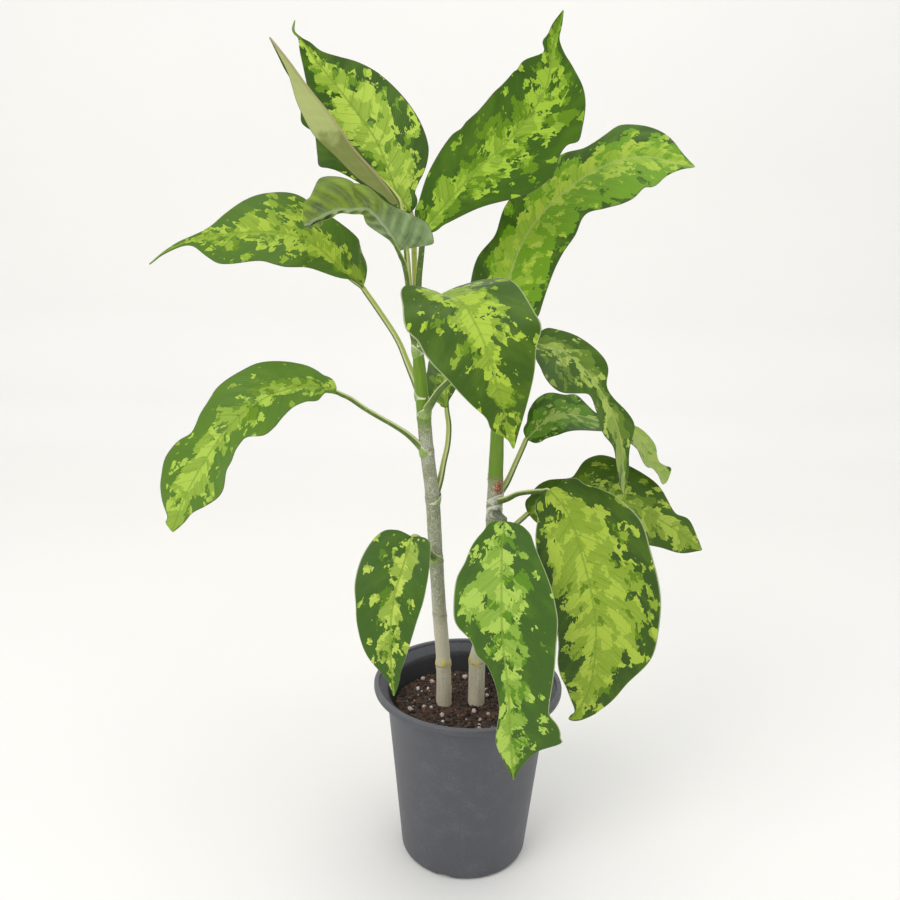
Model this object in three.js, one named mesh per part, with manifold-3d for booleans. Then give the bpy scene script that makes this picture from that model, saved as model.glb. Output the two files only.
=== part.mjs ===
// A potted Chinese evergreen: two bare canes stand in a nursery pot of dark mix, and each
// cane carries its leaves on long stalks. Lengths are in millimetres and +Z is up. The origin
// is on the pot's axis, on the surface that the pot stands on, and the plant is seen from -Y.

import * as THREE from 'three';
import { mergeVertices } from 'three/addons/utils/BufferGeometryUtils.js';
import Module from 'manifold-3d';

const wasm = await Module();
wasm.setup();

// ---------------------------------------------------------------- driving dimensions

// The pot: a thin conical wall under a flared rim, with three air notches in its foot.
const POT_HEIGHT = 118;
const RIM_RADIUS = 60;
const BODY_TOP_RADIUS = 52;
const BODY_TOP_Z = 112;
const BASE_RADIUS = 40.6;
const WALL = 1.4;
const FLOOR = 2;
const FOOT_ROUND = 2.4;
const COLLAR_HEIGHT = 4.4;
const LIP_WIDTH = 3.2;
const RIM_ROUND = 1;
const FLARE_THICKNESS = 2;
const NOTCH_COUNT = 3;
const NOTCH_WIDTH = 10;
const NOTCH_HEIGHT = 2.6;
const NOTCH_DEPTH = 4;
const FIRST_NOTCH_ANGLE = THREE.MathUtils.degToRad(-108);
const POT_SIDES = 44;

// The potting mix fills the pot to well below the rim, a little lower at the wall.
const SOIL_TOP = 100;
const SOIL_EDGE_DROP = 2;
const SOIL_EDGE_WIDTH = 8;
const SOIL_CROWN = 0.6;

// The gap that two touching pieces keep.
const GAP = 0.3;

// A cane's rings, where old leaves were, stand a little proud of it.
const RING_PROUD = 0.5;
const RING_HALF_HEIGHT = 2;
const CANE_SIDES = 10;
const CANE_STEPS = 26;

// A leaf blade is a thin sheet. Its half widths are given at these parts of its length.
const BLADE_THICKNESS = 1.3;
const BLADE_BASE_HALF = 1.6;
const BLADE_TIP_HALF = 0.5;
const STATIONS = [0.06, 0.2, 0.35, 0.5, 0.65, 0.8, 0.92];
const BLADE_ACROSS = 4;
const BLADE_ALONG = 16;
const ROWS_TO_BASE = 1.3;

// A leaf stalk widens where it clasps the cane and runs a little way under the blade. Its
// radius is given at parts of its length, from the cane on.
const STALK_RADII = [[0, 2.9], [0.3, 1.7], [0.8, 1.7], [1, 0.5]];
const STALK_UNDER_BLADE = 0.14;
const STALK_SIDES = 7;
const STALK_STEPS = 12;

// Each cane's middle line from its buried end up, its radius at a few heights, and its rings.
const canes = {
  left: {
    line: [
      [-15, 2, 72], [-15, 2, 100], [-16, 1, 130], [-19, 0, 163], [-22, 0, 200],
      [-25, 0, 240], [-29, 0, 270], [-31, 0, 290], [-34, 0, 318], [-37, 0, 352],
    ],
    radii: [
      [72, 4.6], [100, 5], [130, 4.6], [163, 4.4], [240, 4.3], [290, 4.1], [318, 3.8], [352, 1.6],
    ],
    rings: [130, 163, 200, 240, 270, 290],
  },
  right: {
    line: [
      [6, 4, 72], [6, 4, 100], [6, 4, 130], [9, 4, 145], [12, 3, 172],
      [13, 3, 205], [13, 2, 240], [13, 2, 286], [12, 3, 340],
    ],
    radii: [
      [72, 4.8], [100, 5.4], [130, 5.2], [145, 5.4], [205, 4.9], [244, 4.6], [270, 4.3], [340, 1.8],
    ],
    rings: [130, 226, 236, 252],
  },
};

// Each leaf: the height at which its stalk leaves the cane, the stalk's own points, the
// midrib from the stalk to the tip, the way the upper face looks at the base, in the middle
// and at the tip, and the half widths on both sides of the midrib, seen from above with the
// tip away. fold lifts both halves (radians), droop lets the margins hang (part of the width)
// and lobe sweeps the base of the blade back past the stalk and up.
const leaves = {
  leaf_small_low: {
    cane: 'left', from: 200,
    stalk: [[-26, -10, 208], [-29, -24, 219], [-33, -40, 229]],
    rib: [
      [-35, -52, 233], [-39, -60, 219], [-43, -66, 206],
      [-45, -70, 190], [-45, -72, 172], [-43, -72, 146],
    ],
    faces: [[-0.1, -0.9, 0.5], [-0.05, -1, 0.3], [0, -1, 0.25]],
    left: [11, 16, 16, 14, 11, 7, 3],
    right: [16, 23, 23, 20, 16, 9, 2],
    fold: 0.12, droop: 0.1, lobe: [8, 2],
  },
  leaf_behind_centre: {
    cane: 'left', from: 237,
    stalk: [[-20.5, 3, 250], [-18.5, 5, 261], [-16.5, 7, 271], [-16, 9, 282]],
    rib: [[-18, 12, 294], [-18, 32, 306], [-13, 54, 314], [-5, 78, 318], [5, 100, 315]],
    faces: [[-0.2, -0.5, 0.85], [-0.1, -0.4, 0.9], [0, -0.2, 1]],
    left: [7, 12, 15, 18, 17, 12, 6],
    right: [4, 9, 14, 17, 16, 11, 6],
    fold: 0.15, droop: 0.1, lobe: [4, 0],
  },
  leaf_lower_left: {
    cane: 'left', from: 268,
    stalk: [[-39, -2, 278.5], [-48, -2, 284.5], [-57, -2, 289.5], [-66, -3, 295], [-74.5, -4, 301]],
    rib: [
      [-82, -6, 306], [-101, -12, 309], [-123, -20, 302], [-141, -28, 287],
      [-155, -34, 266], [-165, -38, 247], [-172, -40, 228],
    ],
    faces: [[0.05, -0.75, 0.66], [-0.3, -0.75, 0.6], [-0.6, -0.75, 0.3]],
    left: [6, 12, 21, 15, 17, 20, 9],
    right: [9, 19, 24, 24, 23, 25, 15],
    fold: 0.15, droop: 0.1, lobe: [3, 0],
  },
  leaf_centre: {
    cane: 'left', from: 291,
    stalk: [[-22, -12, 308], [-14, -20, 320], [-15, -27, 342]],
    rib: [
      [-22, -30, 365], [-11, -54, 363], [-4, -68, 354], [2, -78, 342],
      [7, -84, 327], [12, -86, 310], [17, -85, 293],
    ],
    faces: [[0.38, -0.75, 0.8], [0.05, -1, 0.35], [0.1, -1, 0.2]],
    left: [28, 30, 30, 30, 22, 14, 6],
    right: [21, 29, 34, 30, 22, 12, 3],
    fold: 0.1, droop: 0.12, lobe: [9, 12],
  },
  leaf_upper_left: {
    cane: 'left', from: 302,
    stalk: [[-41, 8, 319], [-48, 12, 334], [-59, 15, 350]],
    rib: [
      [-68, 14, 365], [-79, 6, 374], [-97, -2, 390], [-118, -8, 395],
      [-143, -12, 393], [-160, -14, 390], [-176, -14, 383], [-185, -14, 376],
    ],
    faces: [[0, -0.8, 0.6], [0, -0.75, 0.65], [0, -0.7, 0.7]],
    left: [3, 11, 20, 21, 22, 4, 2],
    right: [17, 22, 26, 28, 16, 3, 1.5],
    fold: 0.12, droop: 0.1, lobe: [3, 0],
  },
  leaf_curled: {
    cane: 'left', from: 328,
    stalk: [[-41, -3, 352], [-41, -5, 367], [-43, -9, 379]],
    rib: [
      [-45, -14, 387], [-50, -18, 396], [-61, -25, 408],
      [-70, -30, 408], [-79, -34, 407], [-94, -41, 399],
    ],
    faces: [[0.5, 0.8, 0.3], [0, 0.9, 0.45], [0, 0.9, 0.45]],
    left: [20, 17, 11, 12, 16, 15, 10],
    right: [4, 7, 8, 4, 3, 7, 9],
    fold: 0.1, droop: -0.1, lobe: [6, 0],
  },
  leaf_top_right: {
    cane: 'left', from: 338,
    stalk: [[-35, -3, 356], [-35, -3, 370], [-34, -1, 384]],
    rib: [
      [-33, 2, 398], [-20, 6, 413], [-3, 12, 432], [14, 16, 448],
      [26, 18, 463], [35, 19, 479], [37, 19, 497], [42, 20, 518],
    ],
    faces: [[0.1, -1, 0.2], [0.1, -1, 0.2], [0.3, -1, 0.1]],
    left: [12, 20, 24, 24, 22, 17, 4],
    right: [6, 15, 27, 32, 31, 13, 2],
    fold: 0.15, droop: 0.05, lobe: [3, 0],
  },
  leaf_folded: {
    cane: 'left', from: 332,
    stalk: [[-40, 2, 354], [-41, 2, 370], [-43, 2, 390]],
    rib: [
      [-48, 4, 412], [-60, 6, 426], [-74, 8, 441], [-87, 10, 459],
      [-100, 12, 474], [-110, 12, 487], [-120, 12, 499],
    ],
    faces: [[-0.9, 0.1, -0.4], [-0.9, 0.1, -0.4], [-0.9, 0.1, -0.4]],
    left: [4, 9, 12, 15, 20, 6, 3],
    right: [4, 9, 11, 15, 12, 5, 2],
    fold: 1, droop: 0, lobe: [0, 0],
  },
  leaf_top_left: {
    cane: 'left', from: 344,
    stalk: [[-37, 5, 360], [-38, 6, 378], [-39, 9, 394]],
    rib: [
      [-41, 14, 408], [-50, 20, 420], [-62, 30, 447], [-78, 38, 468],
      [-95, 42, 488], [-107, 43, 503], [-112, 43, 508], [-111, 43, 514],
    ],
    faces: [[0.1, -1, 0.25], [0.05, -1, 0.2], [0, -1, 0.1]],
    left: [6, 19, 36, 31, 20, 9, 1.5],
    right: [8, 23, 27, 26, 21, 7, 1.5],
    fold: 0.15, droop: 0.05, lobe: [3, 0],
  },
  leaf_front: {
    cane: 'right', from: 231,
    stalk: [[17.5, -9, 236], [18.5, -22, 238], [17.5, -34, 240]],
    rib: [
      [16.5, -46, 241.5], [15, -57, 227], [15, -67, 208], [16, -75, 183],
      [20, -80, 155], [22, -82, 129], [25, -81, 101],
    ],
    faces: [[0, -0.9, 0.5], [0, -1, 0.25], [0, -1, 0.1]],
    left: [16, 24, 30, 29, 23, 28, 7],
    right: [10, 23, 26, 12, 6, 8, 4],
    fold: 0.1, droop: 0.08, lobe: [6, 2],
  },
  leaf_lower_right: {
    cane: 'right', from: 206,
    stalk: [[19, 6, 212], [26, 10, 219]],
    rib: [
      [35, 14, 227], [55, 22, 235], [78, 28, 238],
      [106, 32, 227], [131, 32, 213], [151, 30, 199],
    ],
    faces: [[0.1, -0.8, 0.7], [0.1, -0.8, 0.6], [0.1, -0.9, 0.4]],
    left: [9, 13, 23, 25, 22, 10, 7],
    right: [12, 22, 27, 27, 23, 16, 10],
    fold: 0.1, droop: 0.1, lobe: [6, 0],
  },
  leaf_big_right: {
    cane: 'right', from: 238,
    stalk: [[19.5, -6, 242], [26.5, -12, 247.5], [36, -20, 251.5]],
    rib: [
      [43, -24, 254], [53, -32, 243], [60, -40, 225], [67, -46, 201],
      [71, -50, 177], [70, -52, 148], [66, -51, 133], [62, -50, 124], [58.5, -50, 121],
    ],
    faces: [[0.1, -0.85, 0.6], [0.15, -1, 0.3], [0.1, -1, 0.1]],
    left: [18, 37, 41, 40, 37, 26, 13],
    right: [16, 24, 26, 24, 22, 18, 9],
    fold: 0.1, droop: 0.1, lobe: [8, 3],
  },
  leaf_mid_right: {
    cane: 'right', from: 240,
    stalk: [[20, 6, 248], [26, 10, 261]],
    rib: [
      [32, 14, 275], [50, 22, 288], [77, 32, 284],
      [103, 38, 272], [116, 40, 255], [127, 40, 242],
    ],
    faces: [[0, -0.9, 0.5], [0, -0.35, 0.95], [0.6, -0.6, 0.5]],
    left: [7, 16, 16, 6, 9, 11, 7],
    right: [8, 15, 17, 17, 15, 13, 4],
    fold: 0.2, droop: 0, lobe: [2, 0],
  },
  leaf_drooping: {
    cane: 'right', from: 296,
    stalk: [[15, 0, 315], [22, -4, 330]],
    rib: [
      [31, -8, 337], [48, -16, 333], [62, -22, 322], [72, -26, 308],
      [80, -28, 291], [84, -28, 272], [86, -26, 252],
    ],
    faces: [[0.1, -0.7, 0.7], [0.4, -0.7, 0.5], [0.8, -0.6, 0.2]],
    left: [12, 13, 13, 5, 12, 5, 3],
    right: [12, 26, 27, 12, 14, 10, 7],
    fold: 0.2, droop: 0, lobe: [4, 0],
  },
  leaf_long_arching: {
    cane: 'right', from: 322,
    stalk: [[12, 7, 330], [12, 13, 337]],
    rib: [
      [13, 22, 346], [20, 34, 376], [31, 44, 400], [49, 54, 420],
      [71, 62, 436], [99, 68, 445], [135, 70, 440],
    ],
    faces: [[0, -0.9, 0.5], [0.1, -0.8, 0.6], [0.2, -0.7, 0.6]],
    left: [21, 21, 21, 21, 17, 25, 16],
    right: [23, 25, 26, 21, 30, 26, 10],
    fold: 0.12, droop: 0.05, lobe: [4, 0],
  },
};

// ---------------------------------------------------------------- colours

function finish(color, roughness) {
  return new THREE.MeshStandardMaterial({ color, roughness, metalness: 0 });
}

const potFinish = () => finish(0x47484c, 0.55);
const mixFinish = () => finish(0x2a1e18, 0.95);
const caneFinish = () => finish(0x98a07f, 0.6);
const leafFinish = () => finish(0x5f8f34, 0.45);

// ---------------------------------------------------------------- solids

const vector = (p) => new THREE.Vector3(...p);

// A closed solid from a geometry: shared corners are merged and flat triangles dropped.
function solidOf(geometry) {
  geometry.deleteAttribute('normal');
  geometry.deleteAttribute('uv');
  const merged = mergeVertices(geometry, 1e-4);
  const index = merged.index.array;
  const triangles = [];
  for (let i = 0; i < index.length; i += 3) {
    const [a, b, c] = index.slice(i, i + 3);
    if (a !== b && b !== c && c !== a) triangles.push(a, b, c);
  }
  return new wasm.Manifold(new wasm.Mesh({
    numProp: 3,
    vertProperties: new Float32Array(merged.attributes.position.array),
    triVerts: new Uint32Array(triangles),
  }));
}

// The largest body of a solid that a cut may have left in several.
function largestBody(solid) {
  const bodies = solid.decompose();
  bodies.sort((a, b) => b.volume() - a.volume());
  return bodies[0];
}

const group = new THREE.Group();

function place(name, solid, material) {
  const mesh = solid.getMesh();
  const geometry = new THREE.BufferGeometry();
  geometry.setAttribute('position', new THREE.BufferAttribute(mesh.vertProperties, 3));
  geometry.setIndex(new THREE.BufferAttribute(mesh.triVerts, 1));
  geometry.computeVertexNormals();
  const part = new THREE.Mesh(geometry, material);
  part.name = name;
  group.add(part);
}

// A solid turned about +Z from a profile of [radius, height] points.
function turned(profile) {
  const points = profile.map(([r, z]) => new THREE.Vector2(r, z));
  const geometry = new THREE.LatheGeometry(points, POT_SIDES);
  geometry.rotateX(Math.PI / 2);
  return solidOf(geometry);
}

// A smooth value between the given pairs of [place, value], by cubic pieces.
function smooth(pairs, x) {
  const last = pairs.length - 1;
  const at = THREE.MathUtils.clamp(x, pairs[0][0], pairs[last][0]);
  let i = 0;
  while (i < last - 1 && at > pairs[i + 1][0]) i += 1;
  const slope = (k) => {
    const [x0, y0] = pairs[Math.max(k - 1, 0)];
    const [x1, y1] = pairs[Math.min(k + 1, last)];
    return (y1 - y0) / (x1 - x0);
  };
  const [x0, y0] = pairs[i];
  const [x1, y1] = pairs[i + 1];
  const span = x1 - x0;
  const f = (at - x0) / span;
  const rise = (3 - 2 * f) * f * f;
  const bendOut = f * (1 - f) * (1 - f) * span * slope(i);
  const bendIn = f * f * (f - 1) * span * slope(i + 1);
  return y0 + (y1 - y0) * rise + bendOut + bendIn;
}

// A round rod along a curve, with its radius as a function of the part of its length. The
// clearance makes it larger all round and at both ends, to cut room for it.
function rod(curve, radiusAt, sides, steps, clearance) {
  const geometry = new THREE.CylinderGeometry(1, 1, 1, sides, steps);
  const position = geometry.attributes.position;
  const frames = curve.computeFrenetFrames(steps);
  for (let i = 0; i < position.count; i += 1) {
    const step = Math.round((0.5 - position.getY(i)) * steps);
    const t = step / steps;
    const radius = radiusAt(t) + clearance;
    const point = curve.getPointAt(t);
    const overrun = step === 0 ? -clearance : clearance;
    if (step === 0 || step === steps) point.addScaledVector(curve.getTangentAt(t), overrun);
    point.addScaledVector(frames.normals[step], position.getX(i) * radius);
    point.addScaledVector(frames.binormals[step], position.getZ(i) * radius);
    position.setXYZ(i, point.x, point.y, point.z);
  }
  return solidOf(geometry);
}

// ---------------------------------------------------------------- pot and mix

const wallSlope = (BODY_TOP_RADIUS - BASE_RADIUS) / BODY_TOP_Z;
const wallRadius = (z) => BASE_RADIUS + wallSlope * z;

function makePot() {
  const collarFoot = POT_HEIGHT - COLLAR_HEIGHT;
  const flareFoot = BODY_TOP_Z - FLARE_THICKNESS;
  const lip = RIM_RADIUS - LIP_WIDTH;
  const halfRound = FOOT_ROUND * (1 - Math.SQRT1_2);
  const profile = [
    [0, 0], [BASE_RADIUS - FOOT_ROUND, 0], [BASE_RADIUS - halfRound, halfRound],
    [wallRadius(FOOT_ROUND), FOOT_ROUND], [BODY_TOP_RADIUS, BODY_TOP_Z],
    [RIM_RADIUS - RIM_ROUND, collarFoot], [RIM_RADIUS, collarFoot + RIM_ROUND],
    [RIM_RADIUS, POT_HEIGHT - RIM_ROUND], [RIM_RADIUS - RIM_ROUND, POT_HEIGHT],
    [lip + RIM_ROUND, POT_HEIGHT], [lip, POT_HEIGHT - RIM_ROUND],
    [wallRadius(flareFoot) - WALL, flareFoot], [wallRadius(FLOOR) - WALL, FLOOR], [0, FLOOR],
  ];
  let pot = turned(profile);
  for (let k = 0; k < NOTCH_COUNT; k += 1) {
    const notch = new THREE.BoxGeometry(2 * NOTCH_DEPTH, NOTCH_WIDTH, 2 * NOTCH_HEIGHT);
    notch.translate(BASE_RADIUS, 0, 0);
    notch.rotateZ(FIRST_NOTCH_ANGLE + (k * 2 * Math.PI) / NOTCH_COUNT);
    pot = pot.subtract(solidOf(notch));
  }
  return pot;
}

function makeMix() {
  const clear = (z) => wallRadius(z) - WALL - 2 * GAP;
  const foot = FLOOR + GAP;
  const edge = SOIL_TOP - SOIL_EDGE_DROP;
  return turned([
    [0, foot], [clear(foot), foot], [clear(edge), edge],
    [clear(edge) - SOIL_EDGE_WIDTH, SOIL_TOP - SOIL_CROWN], [0, SOIL_TOP],
  ]);
}

// ---------------------------------------------------------------- canes

function caneRod(cane, clearance) {
  const curve = new THREE.CatmullRomCurve3(cane.line.map(vector), false, 'catmullrom');
  const radiusAt = (t) => {
    const { z } = curve.getPointAt(t);
    const nearest = Math.min(...cane.rings.map((ring) => Math.abs(z - ring)));
    const ring = RING_PROUD * Math.max(0, 1 - nearest / RING_HALF_HEIGHT);
    return smooth(cane.radii, z) + ring;
  };
  return rod(curve, radiusAt, CANE_SIDES, CANE_STEPS, clearance);
}

// The point on a cane's middle line at a height.
function onCane(cane, height) {
  const xs = cane.line.map(([x, , z]) => [z, x]);
  const ys = cane.line.map(([, y, z]) => [z, y]);
  return [smooth(xs, height), smooth(ys, height), height];
}

// ---------------------------------------------------------------- leaves

function halfWidth(widths, t) {
  const pairs = STATIONS.map((station, i) => [station, widths[i]]);
  pairs.push([1, BLADE_TIP_HALF]);
  const rounding = Math.min(t / STATIONS[0], 1);
  const round = Math.sqrt(1 - (1 - rounding) ** 2);
  return BLADE_BASE_HALF + (smooth(pairs, t) - BLADE_BASE_HALF) * round;
}

// The blade: a flat sheet whose points move to the midrib, across it and off it.
function makeBlade(leaf) {
  const rib = new THREE.CatmullRomCurve3(leaf.rib.map(vector), false, 'catmullrom');
  const geometry = new THREE.BoxGeometry(1, 1, 1, BLADE_ACROSS, BLADE_ALONG, 1);
  const position = geometry.attributes.position;
  const [atBase, atMiddle, atTip] = leaf.faces.map((face) => vector(face).normalize());
  const widest = Math.max(...leaf.left, ...leaf.right);
  for (let i = 0; i < position.count; i += 1) {
    const u = 2 * position.getX(i);
    const t = (position.getY(i) + 0.5) ** ROWS_TO_BASE;
    const along = rib.getTangentAt(t);
    const face = t < 0.5
      ? atBase.clone().lerp(atMiddle, 2 * t)
      : atMiddle.clone().lerp(atTip, 2 * t - 1);
    face.addScaledVector(along, -face.dot(along)).normalize();
    const across = along.clone().cross(face);
    const width = halfWidth(u < 0 ? leaf.left : leaf.right, t);
    const reach = width * Math.abs(u);
    const lift = reach * Math.sin(leaf.fold) - leaf.droop * width * u * u;
    const lobing = (reach / widest) ** 2 * (1 - t) ** 3;
    const point = rib.getPointAt(t);
    point.addScaledVector(along, -leaf.lobe[0] * lobing);
    point.addScaledVector(face, leaf.lobe[1] * lobing);
    point.addScaledVector(across, Math.sign(u) * reach * Math.cos(leaf.fold));
    point.addScaledVector(face, lift + position.getZ(i) * BLADE_THICKNESS);
    position.setXYZ(i, point.x, point.y, point.z);
  }
  return solidOf(geometry);
}

// The stalk, from the middle of the cane to a little way along the midrib.
function makeStalk(leaf, clearance) {
  const rib = new THREE.CatmullRomCurve3(leaf.rib.map(vector), false, 'catmullrom');
  const points = [onCane(canes[leaf.cane], leaf.from), ...leaf.stalk, leaf.rib[0]].map(vector);
  points.push(rib.getPointAt(STALK_UNDER_BLADE));
  const curve = new THREE.CatmullRomCurve3(points, false, 'catmullrom');
  return rod(curve, (t) => smooth(STALK_RADII, t), STALK_SIDES, STALK_STEPS, clearance);
}

// ---------------------------------------------------------------- the assembly

const caneSolids = {};
const caneRoom = {};
for (const [side, cane] of Object.entries(canes)) {
  caneSolids[side] = caneRod(cane, 0);
  caneRoom[side] = caneRod(cane, GAP);
}

place('pot', makePot(), potFinish());
place('potting_mix', makeMix().subtract(caneRoom.left).subtract(caneRoom.right), mixFinish());
place('left_cane', caneSolids.left, caneFinish());
place('right_cane', caneSolids.right, caneFinish());

// A stalk gives way to the cane and to the stalks that clasp the cane outside it.
const taken = { left: caneRoom.left, right: caneRoom.right };
for (const [name, leaf] of Object.entries(leaves)) {
  const solid = makeBlade(leaf).add(makeStalk(leaf, 0)).subtract(taken[leaf.cane]);
  taken[leaf.cane] = taken[leaf.cane].add(makeStalk(leaf, GAP));
  place(name, largestBody(solid), leafFinish());
}

export default group;
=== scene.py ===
"""A potted Chinese evergreen: two bare canes in a dark nursery pot, each with its leaves."""

import functools
import math
import random

import bmesh
import bpy
from mathutils import Matrix, Vector, noise


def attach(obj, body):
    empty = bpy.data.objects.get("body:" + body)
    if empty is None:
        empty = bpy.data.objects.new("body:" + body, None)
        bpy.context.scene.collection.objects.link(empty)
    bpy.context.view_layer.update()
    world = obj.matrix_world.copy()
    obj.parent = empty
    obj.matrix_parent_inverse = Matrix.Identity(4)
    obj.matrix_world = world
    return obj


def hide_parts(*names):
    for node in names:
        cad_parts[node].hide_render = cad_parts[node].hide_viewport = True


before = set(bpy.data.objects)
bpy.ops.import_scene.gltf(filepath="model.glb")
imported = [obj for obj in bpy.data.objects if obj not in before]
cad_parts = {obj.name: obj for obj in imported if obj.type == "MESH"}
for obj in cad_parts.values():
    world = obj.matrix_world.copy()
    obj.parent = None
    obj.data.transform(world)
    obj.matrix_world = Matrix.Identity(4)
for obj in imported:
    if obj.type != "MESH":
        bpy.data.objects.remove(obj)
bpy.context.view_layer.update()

# ---- Nursery pot --------------------------------------------------------------------------
# A single thin moulding of dark grey plastic: a plain tapered wall on a foot with three air
# notches, and a flared collar that ends in a narrow flat lip.

MM = 0.001
POT_STEPS = 144
POT_PROFILE = [
    (0, 0), (20, 0), (37.6, 0), (39.2, 0.4), (40.2, 1.4), (40.9, 3), (46.4, 58), (52, 112),
    (52.4, 112.7), (53.2, 113.1), (58.8, 113.6), (59.7, 114), (60, 115), (60, 116.8),
    (59.6, 117.7), (58.8, 118), (57.6, 118), (57, 117.8), (56.7, 117.2), (56.4, 116),
    (51.4, 112.4), (50.6, 111.2), (50.2, 109), (45, 58), (39.6, 3.4), (38.6, 2.2), (20, 2),
    (0, 2),
]
NOTCH_ANGLES = (-108, 12, 132)
NOTCH_SIZE = (8, 9.5, 5.4)
NOTCH_RADIUS = 41
NOTCH_ROUNDING = 1.6
SHARP_ANGLE = math.radians(35)


def piece_from(name, shape, smooth=True):
    """A piece in the scene from a bmesh."""
    data = bpy.data.meshes.new(name)
    shape.to_mesh(data)
    shape.free()
    piece = bpy.data.objects.new(name, data)
    bpy.context.scene.collection.objects.link(piece)
    for face in data.polygons:
        face.use_smooth = smooth
    return piece


def cut_out(piece, cutter):
    """Takes a cutter's shape out of a piece, worked into its mesh."""
    cut = piece.modifiers.new("cut", "BOOLEAN")
    cut.operation = "DIFFERENCE"
    cut.solver = "EXACT"
    cut.object = cutter
    graph = bpy.context.evaluated_depsgraph_get()
    shape = bpy.data.meshes.new_from_object(piece.evaluated_get(graph))
    piece.modifiers.clear()
    piece.data = shape
    bpy.data.objects.remove(cutter)


def turned(profile, steps):
    """A bmesh turned about +Z from a profile of (radius, height) in millimetres."""
    shape = bmesh.new()
    points = [shape.verts.new((r * MM, 0, z * MM)) for r, z in profile]
    edges = [shape.edges.new(pair) for pair in zip(points, points[1:])]
    bmesh.ops.spin(
        shape, geom=points + edges, cent=(0, 0, 0), axis=(0, 0, 1), angle=2 * math.pi,
        steps=steps, use_merge=True,
    )
    bmesh.ops.remove_doubles(shape, verts=shape.verts, dist=1e-6)
    bmesh.ops.recalc_face_normals(shape, faces=shape.faces)
    return shape


class Recipe:
    """A node tree with short calls for its nodes, which give back their output sockets.
    end is the shader or the group's output; takes are the group's inputs."""

    def __init__(self, tree, end, takes=None, material=None):
        self.tree, self.end, self.takes, self.material = tree, end, takes, material

    def fill(self, made, values):
        """Links each named input of a node to a socket, or gives it a value."""
        for key, value in values.items():
            socket = made.inputs[key]
            if isinstance(value, bpy.types.NodeSocket):
                self.tree.links.new(value, socket)
            else:
                socket.default_value = (*value, 1) if socket.type == "RGBA" else value

    def node(self, kind, inputs, **settings):
        made = self.tree.nodes.new("ShaderNode" + kind)
        for key, value in settings.items():
            setattr(made, key, value)
        self.fill(made, inputs)
        return made.outputs

    def placed(self, group, **values):
        """A node group in this tree with its own values."""
        made = self.tree.nodes.new("ShaderNodeGroup")
        made.node_tree = group.tree
        self.fill(made, {k.replace("_", " ").capitalize(): v for k, v in values.items()})
        return made.outputs

    def give(self, **values):
        """Sets inputs of the shader or of the group's output."""
        self.fill(self.end, {key.replace("_", " "): value for key, value in values.items()})

    def relief(self, height, distance):
        """Lets a height feed the shader's normal; distance is in metres."""
        inputs = {"Height": height, "Distance": distance, "Strength": 1}
        self.give(Normal=self.node("Bump", inputs)[0])

    def maths(self, operation, *values):
        return self.node("Math", dict(enumerate(values)), operation=operation)[0]

    def times(self, *values):
        return functools.reduce(functools.partial(self.maths, "MULTIPLY"), values)

    def minus(self, *values):
        """The first value less all the others."""
        return functools.reduce(functools.partial(self.maths, "SUBTRACT"), values)

    def scaled(self, value, by, plus):
        return self.maths("MULTIPLY_ADD", value, by, plus)

    def ramp(self, value, low, high):
        """A value that goes smoothly from 0 at low to 1 at high."""
        inputs = {"Value": value, "From Min": low, "From Max": high}
        return self.node("MapRange", inputs, interpolation_type="SMOOTHSTEP")["Result"]

    def mixed(self, factor, first, second):
        """The colour of one Mix node: 0 is its factor, and 6 and 7 are its colours."""
        return self.node("Mix", {0: factor, 6: first, 7: second}, data_type="RGBA")[2]

    def place(self):
        return self.node("TexCoord", {})["Object"]

    def attribute(self, name, output="Fac"):
        return self.node("Attribute", {}, attribute_name=name)[output]

    def split(self, vector):
        return self.node("SeparateXYZ", {"Vector": vector})

    def vector(self, operation, *values):
        return self.node("VectorMath", dict(enumerate(values)), operation=operation)[0]

    def stretched(self, vector, by):
        return self.vector("MULTIPLY", vector, by)

    def noise(self, place, scale, detail, output="Fac"):
        inputs = {"Vector": place, "Scale": scale, "Detail": detail}
        return self.node("TexNoise", inputs)[output]

    def cells(self, place, scale):
        return self.node("TexVoronoi", {"Vector": place, "Scale": scale})


def effect(name, gives, **takes):
    """A new node group. It takes a colour where the value is a tuple, else a number."""
    tree = bpy.data.node_groups.new(name, "ShaderNodeTree")
    for label, value in takes.items():
        kind = "NodeSocketColor" if isinstance(value, tuple) else "NodeSocketFloat"
        label = label.replace("_", " ")
        socket = tree.interface.new_socket(label, in_out="INPUT", socket_type=kind)
        socket.default_value = (*value, 1) if isinstance(value, tuple) else value
    for label in gives:
        kind = "NodeSocketColor" if label == "Colour" else "NodeSocketFloat"
        tree.interface.new_socket(label, in_out="OUTPUT", socket_type=kind)
    sockets = tree.nodes.new("NodeGroupInput").outputs
    return Recipe(tree, tree.nodes.new("NodeGroupOutput"), sockets)


def finish(name, colour, **values):
    """A material with its own shader; values are the shader's constant sockets."""
    made = bpy.data.materials.new(name)
    made.use_nodes = True
    made.diffuse_color = (*colour, 1)
    recipe = Recipe(made.node_tree, made.node_tree.nodes["Principled BSDF"], material=made)
    recipe.give(Base_Color=colour, **values)
    return recipe


# Fine mottling and grain, as moulded plastic, bark and skin all have.
speckle = effect("fine speckle", ("Shade", "Height"), Scale=300, Grain=4, Contrast=1)
takes = speckle.takes
place = speckle.place()
broad = speckle.noise(place, takes["Scale"], 3)
fine = speckle.noise(place, speckle.times(takes["Scale"], takes["Grain"]), 2)
centred = speckle.minus(speckle.maths("ADD", broad, fine), 1)
speckle.give(Shade=speckle.times(centred, takes["Contrast"]), Height=fine)

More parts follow.
